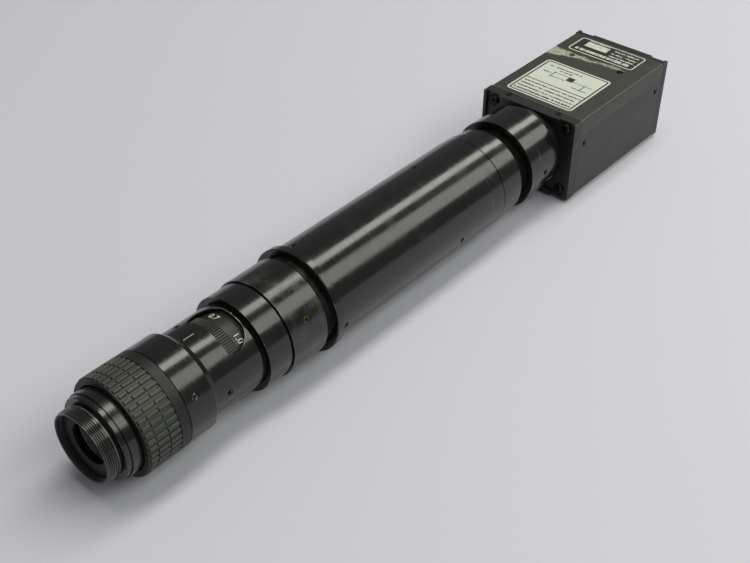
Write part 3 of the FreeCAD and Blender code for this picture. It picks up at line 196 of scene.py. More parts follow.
class MarkSettings(bpy.types.PropertyGroup):
    barrel_radius: length("Barrel radius", "Radius of the zoom barrel's surface", 13.5)
    line_width: length("Line width", "Width of the engraved index lines", 0.22)
    tick_share: amount("Tick width", "Width of the tick, as a share of a line's", 0.8)
    line_depth: length("Line depth", "Thickness of the paint in the lines", 0.04)
    index_start: length("Index start", "From the zoom barrel's front to the index line", 0.7)
    index_length: length("Index length", "Length of the index line", 3.7)
    index_angle: angle("Index angle", "Angle of the index line", 2.6)
    tick_length: length("Tick length", "Length of the tick behind the window", 0.5)
    tick_angle: angle("Tick angle", "Angle of that tick", 8)
    coupler_start: length("Coupler line start", "From the coupler's front to its line", 5.5)
    coupler_end: length("Coupler line end", "From that line to the coupler's back", 4.6)
    coupler_angle: angle("Coupler line angle", "Angle of that line", 110)
    window_rear: length("Window rear", "From the window's rear edge to the engraved ring", 1.4)
    window_length: length("Window length", "Size of the window along the axis", 11.9)
    window_half_span: angle("Window half span", "Half of the angle that the window takes", 40)
    window_angle: angle("Window angle", "Angle of the window's middle", 11)


class ScrewSettings(bpy.types.PropertyGroup):
    head_radius: length("Head radius", "Radius of the corner screws' heads", 1.8)
    head_height: length("Head height", "Height of those heads", 1.05)
    head_dome: amount("Head dome", "Share of those heads' height that is round", 0.55)
    shank_radius: length("Shank radius", "Radius of those screws' shanks", 0.95)
    side_head_radius: length("Side head radius", "Radius of the side screws' heads", 1.3)
    side_head_height: length("Side head height", "Height of those heads", 1.1)
    side_head_dome: amount("Side head dome", "Share of those heads' height that is round", 0.15)
    side_shank_radius: length("Side shank radius", "Radius of the side screws' shanks", 0.8)
    side_reach: length("Side screw length", "Length of a side screw with its head", 4.3)
    recess_share: amount("Recess length", "Length of the cross recess, as a share of the head", 0.62)
    recess_width: amount("Recess width", "Width of the recess's arms, as a share of the head", 0.2)
    recess_depth: amount("Recess depth", "Depth of the recess, as a share of the head's height", 0.6)
    recess_taper: amount("Recess taper", "Size of the recess's floor, as a share of its mouth", 0.55)
    first_twist: angle("First twist", "Turn of the first screw's cross", 25)
    next_twist: angle("Next twist", "Turn from one screw's cross to the next", 50)
    ring_inside: amount("Ring inside", "Inner radius of a side screw's brass ring, as a share", 0.66)
    ring_outside: amount("Ring outside", "Outer radius of that ring, as a share", 0.86)


class LabelSettings(bpy.types.PropertyGroup):
    thickness: length("Thickness", "Thickness of the label foil", 0.12)
    corner: length("Corner", "Corner radius of the labels", 1.6)
    white_paper: colour("White label", "Ground of the white label", (0.58, 0.61, 0.54))
    white_ink: colour("White label ink", "Print of the white label", (0.02, 0.02, 0.02))
    white_front: length("White label front", "From the camera's front to the white label", 6.6)
    white_length: length("White label length", "Its size along the camera", 27.2)
    white_side: place("White label side", "Sideways place of its middle", 1.1)
    white_width: length("White label width", "Its size across the camera", 27.2)
    black_paper: colour("Black label", "Ground of the black label", (0.012, 0.012, 0.011))
    black_ink: colour("Black label ink", "Print of the black label", (0.6, 0.62, 0.55))
    black_front: length("Black label front", "From the camera's front to the black label", 45.5)
    black_length: length("Black label length", "Its size along the camera", 11.7)
    black_side: place("Black label side", "Sideways place of its middle", 0.9)
    black_width: length("Black label width", "Its size across the camera", 27.8)


class StageSettings(bpy.types.PropertyGroup):
    camera_place: FloatVectorProperty(name="Camera place", description="Where the viewing camera stands",
                                      default=(-0.24380, -0.19407, 0.23888), size=3, subtype="TRANSLATION")
    camera_turn: FloatVectorProperty(name="Camera turn", description="How the viewing camera is turned",
                                     default=tuple(math.radians(turn) for turn in (51.616, -0.161, -49.124)),
                                     size=3, subtype="EULER")
    focal_length: FloatProperty(name="Focal length", description="Focal length on a 36 mm sensor",
                                default=56.97, min=1, unit="CAMERA")
    floor_size: length("Floor size", "Side of the square floor", 6000)
    floor_colour: colour("Floor", "Colour of the floor", (0.600, 0.595, 0.68))
    sky_colour: colour("Sky", "Colour of the light from all round", (0.95, 0.95, 1.0))
    sky_strength: FloatProperty(name="Sky strength", description="Strength of that light",
                                default=0.18, min=0)
    lamp_distance: length("Lamp distance", "From the optical axis to the two strip lamps", 1250)
    lamp_length: length("Lamp length", "Length of the strip lamps, along the optical axis", 2400)
    lamp_centre: place("Lamp centre", "Place of the lamps' middle along the axis", 850)
    wide_angle: angle("Wide lamp angle", "Angle of the wide strip lamp", 40)
    wide_width: length("Wide lamp width", "Width of the wide strip lamp", 650)
    wide_power: power("Wide lamp", "Power of the wide strip lamp", 14.5)
    wide_tint: colour("Wide lamp tint", "Colour of the wide strip lamp", (0.97, 1.0, 0.88))
    narrow_angle: angle("Narrow lamp angle", "Angle of the narrow strip lamp", -1.5)
    narrow_width: length("Narrow lamp width", "Width of the narrow strip lamp", 340)
    narrow_power: power("Narrow lamp", "Power of the narrow strip lamp", 15.0)
    narrow_tint: colour("Narrow lamp tint", "Colour of the narrow strip lamp", (1.0, 0.98, 0.89))


SETTINGS = {
    "vision_finish": FinishSettings,
    "vision_nose": NoseSettings,
    "vision_grip": GripSettings,
    "vision_zoom_ring": ZoomRingSettings,
    "vision_marks": MarkSettings,
    "vision_screws": ScrewSettings,
    "vision_labels": LabelSettings,
    "vision_stage": StageSettings,
}


# ---------------------------------------------------------------- shader maths


class Value:
    """A socket of a material, used in expressions that add the nodes for them."""

    def __init__(self, finish, socket):
        self.finish = finish
        self.socket = socket

    def _math(self, operation, *values):
        return self.finish.node("ShaderNodeMath", {"operation": operation}, dict(enumerate(values)))

    def __add__(self, other):
        return self._math("ADD", self, other)

    def __sub__(self, other):
        return self._math("SUBTRACT", self, other)

    def __rsub__(self, other):
        return self._math("SUBTRACT", other, self)

    def __mul__(self, other):
        return self._math("MULTIPLY", self, other)

    def __truediv__(self, other):
        return self._math("DIVIDE", self, other)

    def __pow__(self, other):
        return self._math("POWER", self, other)

    def __lt__(self, other):
        return self._math("LESS_THAN", self, other)

    def __abs__(self):
        return self._math("ABSOLUTE", self)

    __radd__ = __add__

    def largest(self, other):
        return self._math("MAXIMUM", self, other)

    def smallest(self, other):
        return self._math("MINIMUM", self, other)

    def band(self, low, high):
        """Rises smoothly from 0 to 1 between two values."""
        inputs = {"Value": self, "From Min": low, "From Max": high}
        return self.finish.node("ShaderNodeMapRange", {"interpolation_type": "SMOOTHSTEP"}, inputs)

    def ridge(self, start, low, high, end):
        """1 from low to high, falling smoothly to 0 at start and end."""
        return self.band(start, low) * (1 - self.band(high, end))


class Finish:
    """A procedural material, built round a Principled shader."""

    def __init__(self, name):
        self.material = bpy.data.materials.new(name)
        self.material.use_nodes = True
        self.tree = self.material.node_tree
        self.shader = self.tree.nodes["Principled BSDF"]

    def node(self, kind, settings=None, inputs=None, output=0):
        """Adds a node: its settings first, then the values or links of its sockets."""
        made = self.tree.nodes.new(kind)
        for name, setting in (settings or {}).items():
            setattr(made, name, setting)
        for key, value in (inputs or {}).items():
            self.feed(made.inputs[key], value)
        return Value(self, made.outputs[output])

    def feed(self, socket, value):
        if isinstance(value, Value):
            self.tree.links.new(value.socket, socket)
        elif hasattr(value, "__len__") and socket.type == "RGBA" and len(value) == 3:
            socket.default_value = (*value, 1)
        else:
            socket.default_value = value

    def set(self, **sockets):
        """Sets the shader's sockets; an underscore in a name stands for a space."""
        for name, value in sockets.items():
            self.feed(self.shader.inputs[name.replace("_", " ")], value)
        return self

    def fed(self, name):
        """What feeds one of the shader's sockets so far."""
        return Value(self, self.shader.inputs[name].links[0].from_socket)

    def place(self):
        """The point on the piece, in millimetres."""
        point = self.node("ShaderNodeTexCoord", output=3)
        return self.node("ShaderNodeVectorMath", {"operation": "SCALE"}, {0: point, "Scale": 1 / MM})

    def parts(self, vector):
        node = self.tree.nodes.new("ShaderNodeSeparateXYZ")
        self.feed(node.inputs[0], vector)
        return [Value(self, socket) for socket in node.outputs]

    def vector(self, x, y, z):
        return self.node("ShaderNodeCombineXYZ", None, {0: x, 1: y, 2: z})

    def round_axis(self):
        """Place along the optical axis, distance from it and angle round it, in millimetres and radians."""
        along, side, height = self.parts(self.place())
        height = height - AXIS.z / MM
        radius = (side * side + height * height) ** 0.5
        turn = self.node("ShaderNodeMath", {"operation": "ARCTAN2"}, {0: side * -1, 1: height})
        return along, radius, turn

    def noise(self, point, scale, detail=2.0, roughness=0.5):
        inputs = {"Vector": point, "Scale": scale, "Detail": detail, "Roughness": roughness}
        return self.node("ShaderNodeTexNoise", None, inputs)

    def cells(self, point, scale):
        return self.node("ShaderNodeTexVoronoi", None, {"Vector": point, "Scale": scale})

    def mix(self, first, second, factor):
        """A colour between two others."""
        inputs = {0: factor, 6: first, 7: second}
        return self.node("ShaderNodeMix", {"data_type": "RGBA"}, inputs, 2)

    def bump(self, height, strength, distance):
        """The surface direction on a relief from 0 to 1, as deep as the distance in millimetres."""
        inputs = {"Strength": strength, "Distance": distance * MM, "Height": height}
        return self.node("ShaderNodeBump", None, inputs)


# ---------------------------------------------------------------- finishes


def shaded(rgb, share):
    """A colour made lighter or darker."""
    return [part * share for part in rgb]


def rim_wear_and_highlight(finish, along, radius, node):
    """Where a turned piece's two outer rims are lightened: partly anodising rubbed off, partly painted
    highlight.
    """
    low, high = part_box(node)
    middle, half = (low.x + high.x) / 2 / MM, (high.x - low.x) / 2 / MM
    crest = node_radius(node) / MM
    return abs(along - middle).band(half - 0.28, half - 0.12) * radius.band(crest - 0.5, crest - 0.1)


def turned_metal(name, node=None, dusty=0.03):
    """Anodised metal with fine turning marks round the axis, dust specks, and rims lightened partly by
    rubbing, partly as painted highlight.
    """
    look = bpy.context.scene.vision_finish
    finish = Finish(name)
    point = finish.place()
    along, radius, turn = finish.round_axis()
    marks = finish.noise(finish.vector(along, turn * 0.4, radius), 3.5, 4.0, 0.65)
    streaks = finish.noise(finish.vector(along * 0.05, turn * 9.0, radius * 0.2), 1.0, 3.0)
    smears = finish.noise(point, 0.14, 4.0, 0.62)
    sizes = finish.noise(point, 0.5, 1.0)
    specks = (1 - finish.cells(point, 0.75).band(0.03, 0.07)) * sizes.band(0.54, 0.66) * 0.55
    film = smears.band(0.62 - dusty * 2, 0.85) * dusty
    base = finish.mix(look.anodise, look.dust, film.largest(specks))
    if node:
        # The rims get the worn colour: partly rubbed anodising, partly painted highlight.
        wear = rim_wear_and_highlight(finish, along, radius, node) * (0.03 + smears.band(0.5, 0.66) * 0.3)
        base = finish.mix(base, look.worn, wear)
    finish.set(
        Base_Color=base,
        Roughness=look.anodise_roughness + (marks - 0.5) * 0.3 + (smears - 0.5) * 0.2
        + (streaks - 0.5) * 0.12 + specks * 0.5 + film * 1.2,
        Specular_IOR_Level=0.6,
        Normal=finish.bump(marks, 0.25, 0.008),
    )
    return finish


def window_barrel(node):
    """The zoom barrel's anodising, with a bright line along the rear end of its oval windows: partly rubbed
    metal, partly painted highlight.
    """
    marks = bpy.context.scene.vision_marks
    surface = marks.barrel_radius / MM
    centre = (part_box("rear_ring")[0].x - marks.window_rear - marks.window_length / 2) / MM
    half = (marks.window_length / 2 / MM, surface * math.sin(marks.window_half_span))
    finish = turned_metal(f"black_anodised_{node}", node)
    along, radius, turn = finish.round_axis()
    across = finish.node("ShaderNodeMath", {"operation": "SINE"}, {0: turn - marks.window_angle}) * radius
    edge = rounded_distance(finish, along, across, (centre, 0), half, half[0])
    # Painted highlight, partly rubbed metal: a bright line on the window's edge, kept to its rear end.
    line = edge.ridge(-0.05, 0.02, 0.12, 0.3) * radius.band(surface - 0.2, surface - 0.05)
    line = line * (along - centre).band(half[0] * 0.2, half[0] * 0.6)
    worn = bpy.context.scene.vision_finish.worn
    return finish.set(Base_Color=finish.mix(finish.fed("Base Color"), worn, line * 0.45))


def nose_metal(name):
    """The nose's anodising: satin outside, with its thread crests lightened partly by rubbing, partly as
    painted highlight, and a dull black in the bore, darkened as painted shade.
    """
    nose = bpy.context.scene.vision_nose
    bore, thread = nose.bore_radius / MM, nose.thread_radius / MM
    finish = turned_metal(name)
    along, radius, turn = finish.round_axis()
    # Painted shade: the bore is darkened almost to black, as well as made duller.
    inside = 1 - radius.band(bore + 0.2, bore + 0.4)
    # The thread crests get the worn colour: partly rubbed anodising, partly painted highlight.
    crest = radius.ridge(thread - 0.18, thread - 0.04, thread + 0.02, thread + 0.1)
    base = finish.mix(finish.fed("Base Color"), bpy.context.scene.vision_finish.worn, crest * 0.32)
    return finish.set(
        Base_Color=finish.mix(base, (0.002, 0.002, 0.002), inside * 0.9),
        Roughness=finish.fed("Roughness") + inside * 0.4,
    )


def blasted_metal(name, shade, roughness=0.5):
    """Matte bead-blasted anodising."""
    finish = Finish(name)
    point = finish.place()
    smears = finish.noise(point, 0.3, 3.0)
    return finish.set(
        Base_Color=finish.mix(shaded(shade, 0.8), shaded(shade, 1.25), smears),
        Roughness=roughness + (smears - 0.5) * 0.14,
        Specular_IOR_Level=0.38,
        Normal=finish.bump(finish.noise(point, 6.0, 2.0), 0.4, 0.02),
    )


def knurled_metal(name, look, root, crest, knurl_end):
    """The zoom ring: the knurl's colour on its crests, with painted shade darkening its grooves, and a plain
    satin band behind it.
    """
    finish = Finish(name)
    along, radius, turn = finish.round_axis()
    grain = finish.noise(finish.place(), 5.0, 2.0)
    # Painted shade: the knurl's grooves are darkened to a twenty-fifth of its crests' colour.
    knurl_with_painted_groove_shade = finish.mix(shaded(look.knurl, 0.04), look.knurl, radius.band(root + 0.04, crest - 0.02))
    return finish.set(
        Base_Color=finish.mix(look.ring, knurl_with_painted_groove_shade, along < knurl_end),
        Roughness=0.42 + (grain - 0.5) * 0.16,
        Specular_IOR_Level=0.35,
        Normal=finish.bump(grain, 0.2, 0.01),
    )


def dusty_rubber(name, shade, dust_colour):
    """Moulded rubber, greyed by handling, with painted shade darkening the foot of its ribs."""
    finish = Finish(name)
    point = finish.place()
    along, radius, turn = finish.round_axis()
    grain = finish.noise(point, 5.0, 3.0)
    handled = finish.noise(point, 0.4, 4.0, 0.65)
    crest = node_radius("focus_grip") / MM
    floor = crest - bpy.context.scene.vision_grip.rib_height / MM
    # Painted shade: the rubber is darkened just above the groove floor at the foot of the ribs, and kept free
    # of dust there.
    foot = radius.ridge(floor + 0.02, floor + 0.05, floor + 0.12, floor + 0.25)
    dust = (handled.band(0.4, 0.8) * 0.06 + grain.band(0.55, 0.85) * 0.04) * (1 - foot)
    return finish.set(
        Base_Color=finish.mix(finish.mix(shade, shaded(shade, 0.3), foot), dust_colour, dust),
        Roughness=0.55 - radius.band(crest - 0.14, crest - 0.04) * 0.1 + (handled - 0.5) * 0.3,
        Specular_IOR_Level=0.35,
        Normal=finish.bump(grain, 0.35, 0.03),
    )


def box_wear_and_highlight(finish, point, node):
    """Where a box-shaped piece's outer edges are lightened: partly paint rubbed through, partly painted
    highlight.
    """
    near = []
    for part, low, high in zip(finish.parts(point), *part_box(node)):
        middle, half = (low + high) / 2 / MM, (high - low) / 2 / MM
        near.append(abs(part - middle).band(half - 0.4, half - 0.12))
    return (near[0] + near[1] + near[2] - 1.0).largest(0.0).smallest(1.0)


def textured_paint(name, shade, node=None):
    """Fine textured paint, its edges lightened partly by rubbing, partly as painted highlight."""
    look = bpy.context.scene.vision_finish
    finish = Finish(name)
    point = finish.place()
    grain = finish.noise(point, 4.2, 3.0, 0.6)
    rubbed = finish.noise(point, 0.16, 4.0, 0.6)
    specks = (1 - finish.cells(point, 0.6).band(0.02, 0.05)) * rubbed.band(0.5, 0.7) * 0.4
    base = finish.mix(shaded(shade, 0.86), shaded(shade, 1.16), rubbed)
    base = finish.mix(base, look.dust, specks)
    if node:
        # The edges get the worn colour: partly rubbed paint, partly painted highlight.
        wear = box_wear_and_highlight(finish, point, node) * (0.1 + grain.band(0.42, 0.62) * 0.22)
        base = finish.mix(base, look.worn, wear)
    return finish.set(
        Base_Color=base,
        Roughness=look.paint_roughness + (grain - 0.5) * 0.12 + (rubbed - 0.5) * 0.18,
        Normal=finish.bump(grain, 0.3, 0.025),
    )


def residue_paint(name, shade, residue):
    """The top cover's paint, with the film that an old adhesive strip left across it."""
    finish = textured_paint(name, shade, "upper_cover")
    point = finish.place()
    along, side, height = finish.parts(point)
    wave = finish.noise(point, 0.22, 3.0, 0.55)
    flakes = finish.noise(point, 0.8, 5.0, 0.7)
    middle = CAMERA_PLATE / MM + 42.9 - side * 0.1 + (wave - 0.5) * 3.0
    half = 0.85 + (side - 5.0).largest(0.0) * 0.2
    strip = 1 - (abs(along - middle) / half).band(0.7, 1.15)
    film = strip * side.band(-12.5, -8.0) * flakes.band(0.32, 0.5)
    thick = film * (0.62 + side.band(2.0, 8.0) * 0.3)
    return finish.set(
        Base_Color=finish.mix(finish.fed("Base Color"), residue, thick),
        Roughness=finish.fed("Roughness") + film * 0.2,
    )


def machined_metal(name, shade, roughness):
    """Bare or plated metal with fine turning marks."""
    finish = Finish(name)
    along, radius, turn = finish.round_axis()
    marks = finish.noise(finish.vector(along, radius, turn * 0.4), 8.0, 2.0)
    tarnish = finish.noise(finish.place(), 0.8, 3.0)
    return finish.set(
        Base_Color=finish.mix(shaded(shade, 0.6), shade, tarnish.band(0.3, 0.7)),
        Metallic=1.0,
        Roughness=roughness + (marks - 0.5) * 0.15 + (tarnish - 0.5) * 0.2,
        Normal=finish.bump(marks, 0.2, 0.01),
    )


def worn_steel(name):
    """Blackened steel that shows bright where a key has rubbed it."""
    finish = Finish(name)
    rubbed = finish.noise(finish.place(), 1.1, 3.0, 0.6).band(0.46, 0.56)
    return finish.set(
        Base_Color=finish.mix((0.03, 0.03, 0.028), (0.42, 0.42, 0.38), rubbed),
        Metallic=1.0,
        Roughness=0.5 - rubbed * 0.2,
        Normal=finish.bump(rubbed, 0.2, 0.02),
    )


def ringed_steel(name, centre, spread, level, ring):
    """Dark steel heads with a thin brass ring; two axes stand the spread before and behind the centre."""
    finish = Finish(name)
    point = finish.place()
    along, side, height = finish.parts(point)
    off_along = abs(along - centre) - spread
    off_height = height - level
    radius = (off_along * off_along + off_height * off_height) ** 0.5
    tarnish = finish.noise(point, 2.0, 3.0)
    rim = radius.ridge(ring[0], ring[0] + 0.06, ring[1], ring[1] + 0.06)
    brass = shaded(bpy.context.scene.vision_finish.brass, 1.6)
    return finish.set(
        Base_Color=finish.mix((0.02, 0.02, 0.018), brass, rim * (0.5 + tarnish * 0.5)),
        Metallic=1.0,
        Roughness=0.42 + (tarnish - 0.5) * 0.2,
        Normal=finish.bump(tarnish, 0.2, 0.01),
    )


def moulded_plastic(name, shade, roughness):
    """Moulded plastic with a faint grain."""
    finish = Finish(name)
    grain = finish.noise(finish.place(), 5.0, 2.0)
    return finish.set(
        Base_Color=finish.mix(shaded(shade, 0.9), shade, grain),
        Roughness=roughness + (grain - 0.5) * 0.1,
        Normal=finish.bump(grain, 0.2, 0.02),
    )


def circuit_board(name, shade):
    """Solder mask over copper tracks."""
    finish = Finish(name)
    tracks = finish.cells(finish.place(), 0.5).band(0.3, 0.34)
    return finish.set(
        Base_Color=finish.mix(shaded(shade, 0.6), shade, tracks),
        Roughness=0.35 + tracks * 0.1,
        Normal=finish.bump(tracks, 0.3, 0.04),
    )


def coated_glass(name, shade):
    """Lens glass with an anti-reflection coating, so that it hardly mirrors; its dark tint is painted shade,
    standing in for the shade inside the lens.
    """
    finish = Finish(name)
    film = finish.noise(finish.place(), 0.3, 2.0)
    return finish.set(
        Base_Color=finish.mix(shade, shaded(shade, 0.85), film),
        Roughness=0.03 + film * 0.04,
        Transmission_Weight=1.0,
        IOR=1.12,
    )


def printed_paint(name, shade):
    """The worn paint of figures and index lines."""
    finish = Finish(name)
    worn = finish.noise(finish.place(), 2.5, 3.0)
    return finish.set(
        Base_Color=finish.mix(shaded(shade, 0.6), shade, worn.band(0.3, 0.55)),
        Roughness=0.5 + worn * 0.1,
    )


def rounded_distance(finish, along, side, middle, half, corner):
    """Distance outside a rounded rectangle, negative inside it, in millimetres."""
    over_x = abs(along - middle[0]) - (half[0] - corner)
    over_y = abs(side - middle[1]) - (half[1] - corner)
    outside_x = over_x.largest(0.0)
    outside_y = over_y.largest(0.0)
    outside = (outside_x * outside_x + outside_y * outside_y) ** 0.5
    return outside + over_x.largest(over_y).smallest(0.0) - corner


def inside_field(along, side, field):
    """1 inside a rectangle given as (low x, high x, low y, high y), 0 outside it."""
    low_x, high_x, low_y, high_y = field
    in_x = abs(along - (low_x + high_x) / 2) < (high_x - low_x) / 2
    return in_x * (abs(side - (low_y + high_y) / 2) < (high_y - low_y) / 2)


def label_foil(name, box, corner, ground, ink, border, wear, fields=(), rows=(), blank=None):
    """Printed foil: a rounded border line, plain fields, and rows of dashes where lines of print would be."""
    finish = Finish(name)
    point = finish.place()
    along, side, height = finish.parts(point)
    low_x, high_x, low_y, high_y = box
    middle = ((low_x + high_x) / 2, (low_y + high_y) / 2)
    half = ((high_x - low_x) / 2, (high_y - low_y) / 2)
    edge = rounded_distance(finish, along, side, middle, half, corner)
    inset, line = border
    printed = 1 - abs(edge + inset).band(line * 0.35, line * 0.75)
    for field in fields:
        printed = printed.largest(inside_field(along, side, field))
    for row in rows:
        dashes = finish.noise(finish.vector(row[0], side * 1.3, row[1]), 1.0, 2.0, 0.7)
        broken = finish.noise(finish.vector(along * 2.2, side * 2.2, row[0]), 1.0, 1.0)
        print_mask = dashes.band(0.38, 0.44) * broken.band(0.36, 0.44)
        printed = printed.largest(inside_field(along, side, row) * print_mask)
    worn = finish.noise(point, 0.7, 4.0, 0.65)
    base = finish.mix(ground, ink, printed * (1 - worn.band(0.55, 0.7) * wear))
    if blank:
        base = finish.mix(base, ink, inside_field(along, side, blank) * (1 - worn.band(0.55, 0.6) * 0.4))
        near_side = 1 - side.band(middle[1] - half[1] * 0.7, middle[1])
        scuffs = finish.noise(point, 1.1, 5.0, 0.75).band(0.56, 0.62) * near_side
        base = finish.mix(base, ink, scuffs * 0.6 * (edge < -inset))
    return finish.set(
        Base_Color=base,
        Roughness=0.34 + worn * 0.2,
        Normal=finish.bump(worn, 0.1, 0.02),
    )


RIMMED_NODES = (
    "front_barrel", "rear_ring", "tube_flange", "main_tube", "band_ring", "step_ring",
    "adapter_ring", "coupler_front_ring", "coupler_rear_ring",
)
SET_SCREWS = ("front_barrel_screws", "zoom_barrel_screws", "tube_front_screws", "tube_rear_screws")


def slot_finishes():
    """One material for each of the record's material slots."""
    look = bpy.context.scene.vision_finish
    return {
        "black_anodised": turned_metal("black_anodised_finish"),
        "grey_anodised": blasted_metal("grey_anodised_finish", look.grey_anodise),
        "bright_edge": machined_metal("bright_edge_finish", (0.62, 0.62, 0.6), 0.3),
        "grip_rubber": dusty_rubber("grip_rubber_finish", look.rubber, look.dust),
        "camera_paint": textured_paint("camera_paint_finish", look.side_paint),
        "dark_steel": machined_metal("dark_steel_finish", (0.045, 0.044, 0.04), 0.4),
        "bright_steel": machined_metal("bright_steel_finish", (0.5, 0.5, 0.48), 0.32),
        "brass": machined_metal("brass_finish", look.brass, 0.42),
        # Painted shade: the glass is tinted dark.
        "glass": coated_glass("glass_finish", (0.06, 0.065, 0.07)),
        "circuit_board": circuit_board("circuit_board_finish", (0.03, 0.13, 0.06)),
        "black_plastic": moulded_plastic("black_plastic_finish", (0.02, 0.02, 0.021), 0.45),
        "nickel": machined_metal("nickel_finish", (0.66, 0.64, 0.6), 0.22),
        "white_plastic": moulded_plastic("white_plastic_finish", (0.72, 0.71, 0.68), 0.4),
    }


def node_finishes():
    """The materials of nodes that show marks, wear, painted highlight or painted shade of their own."""
    look = bpy.context.scene.vision_finish
    found = {node: turned_metal(f"black_anodised_{node}", node) for node in RIMMED_NODES}
    found["coupling_ring"] = turned_metal("black_anodised_coupling", "coupling_ring", 0.12)
    # Painted shade: the retainer down in the bore gets a near-black finish.
    found["front_retainer"] = blasted_metal("bore_black", (0.004, 0.004, 0.004), 0.6)
    for node in SET_SCREWS:
        found[node] = worn_steel(f"worn_{node}")
    found["zoom_barrel"] = window_barrel("zoom_barrel")
    found["upper_cover"] = residue_paint("camera_paint_top", look.top_paint, look.residue)
    found["lower_cover"] = textured_paint("camera_paint_side", look.side_paint, "lower_cover")
    # Partly painted shade: the frames get the darker frame paint.
    for node in ("front_frame", "rear_frame"):
        found[node] = textured_paint(f"camera_paint_{node}", look.frame_paint_and_shade, node)
    return found


# ---------------------------------------------------------------- modelling helpers


def as_mesh(name, mesh):
    """Turns a bmesh into mesh data."""
    data = bpy.data.meshes.new(name)
    mesh.to_mesh(data)
    mesh.free()
    return data


def merge_into(mesh, part):
    """Adds a bmesh to another."""
    data = as_mesh("part", part)
    mesh.from_mesh(data)
    bpy.data.meshes.remove(data)


def new_piece(name, mesh, body, material, replaced=(), crisp=None):
    """Turns a bmesh into a piece that rides on a body, smooth but for edges sharper than crisp degrees."""
    if crisp:
        for face in mesh.faces:
            face.smooth = True
        for edge in mesh.edges:
            if len(edge.link_faces) == 2:
                edge.smooth = edge.calc_face_angle() < math.radians(crisp)
    piece = bpy.data.objects.new(name, as_mesh(name, mesh))
    piece.data.materials.append(material)
    bpy.context.scene.collection.objects.link(piece)
    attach(piece, body)
    if replaced:
        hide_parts(*replaced)


def cube(mesh, size, middle):
    """A box in a mesh, from its size and middle."""
    verts = bmesh.ops.create_cube(mesh, size=1)["verts"]
    bmesh.ops.scale(mesh, vec=size, verts=verts)
    bmesh.ops.translate(mesh, vec=middle, verts=verts)
    return verts


def turn_round(mesh, verts, turn):
    """Turns vertices round the optical axis."""
    bmesh.ops.rotate(mesh, cent=AXIS, matrix=Matrix.Rotation(turn, 3, "X"), verts=verts)


def spin_outline(mesh, outline):
    """Spins a closed chain of (along, radius) points right round the optical axis."""
    corners = [mesh.verts.new((along, 0, AXIS.z + radius)) for along, radius in outline]
    edges = [mesh.edges.new(pair) for pair in zip(corners, corners[1:] + corners[:1])]
    bmesh.ops.spin(mesh, geom=corners + edges, cent=AXIS, axis=(1, 0, 0), angle=math.tau,
                   steps=ROUND_STEPS, use_merge=True)
    bmesh.ops.recalc_face_normals(mesh, faces=mesh.faces)


def repeat_round(mesh, copies):
    """Repeats a mesh at equal angles round the optical axis."""
    bmesh.ops.spin(mesh, geom=mesh.verts[:] + mesh.edges[:] + mesh.faces[:], cent=AXIS, axis=(1, 0, 0),
                   angle=math.tau * (copies - 1) / copies, steps=copies - 1, use_duplicate=True)


def slot_material(slot):
    """The finish that the first operator made for a material slot."""
    return bpy.data.materials[f"{slot}_finish"]


# ---------------------------------------------------------------- operators


class PieceOperator(bpy.types.Operator):
    """What the operators share."""

    bl_options = {"REGISTER", "UNDO"}


class VISION_OT_finish_frame(PieceOperator):
    """Give every solid of the frame the finish of its material slot"""

    bl_idname = "vision.finish_frame"
    bl_label = "Finish the Frame"

    def execute(self, context):
        slots, own = slot_finishes(), node_finishes()
        for part in frame["record"]["subparts"]:
            finish = own.get(part["node"], slots[part["material_slot"]])
            data = frame["nodes"][part["node"]].data
            data.materials.clear()
            data.materials.append(finish.material)
        return {"FINISHED"}


def helical_ridge(mesh, start, pitch, turns, foot_radius, crest_radius, steps_per_turn=72):
    """A V-shaped thread ridge that winds round the axis."""
    foot = pitch * 0.42
    outline = [(start - foot, foot_radius), (start, crest_radius), (start + foot, foot_radius)]
    profile = mesh.faces.new([mesh.verts.new((along, 0, AXIS.z + radius)) for along, radius in outline])
    bmesh.ops.spin(mesh, geom=[profile], cent=AXIS, axis=(1, 0, 0), angle=math.tau * turns,
                   dvec=(pitch / steps_per_turn, 0, 0), steps=steps_per_turn * turns)


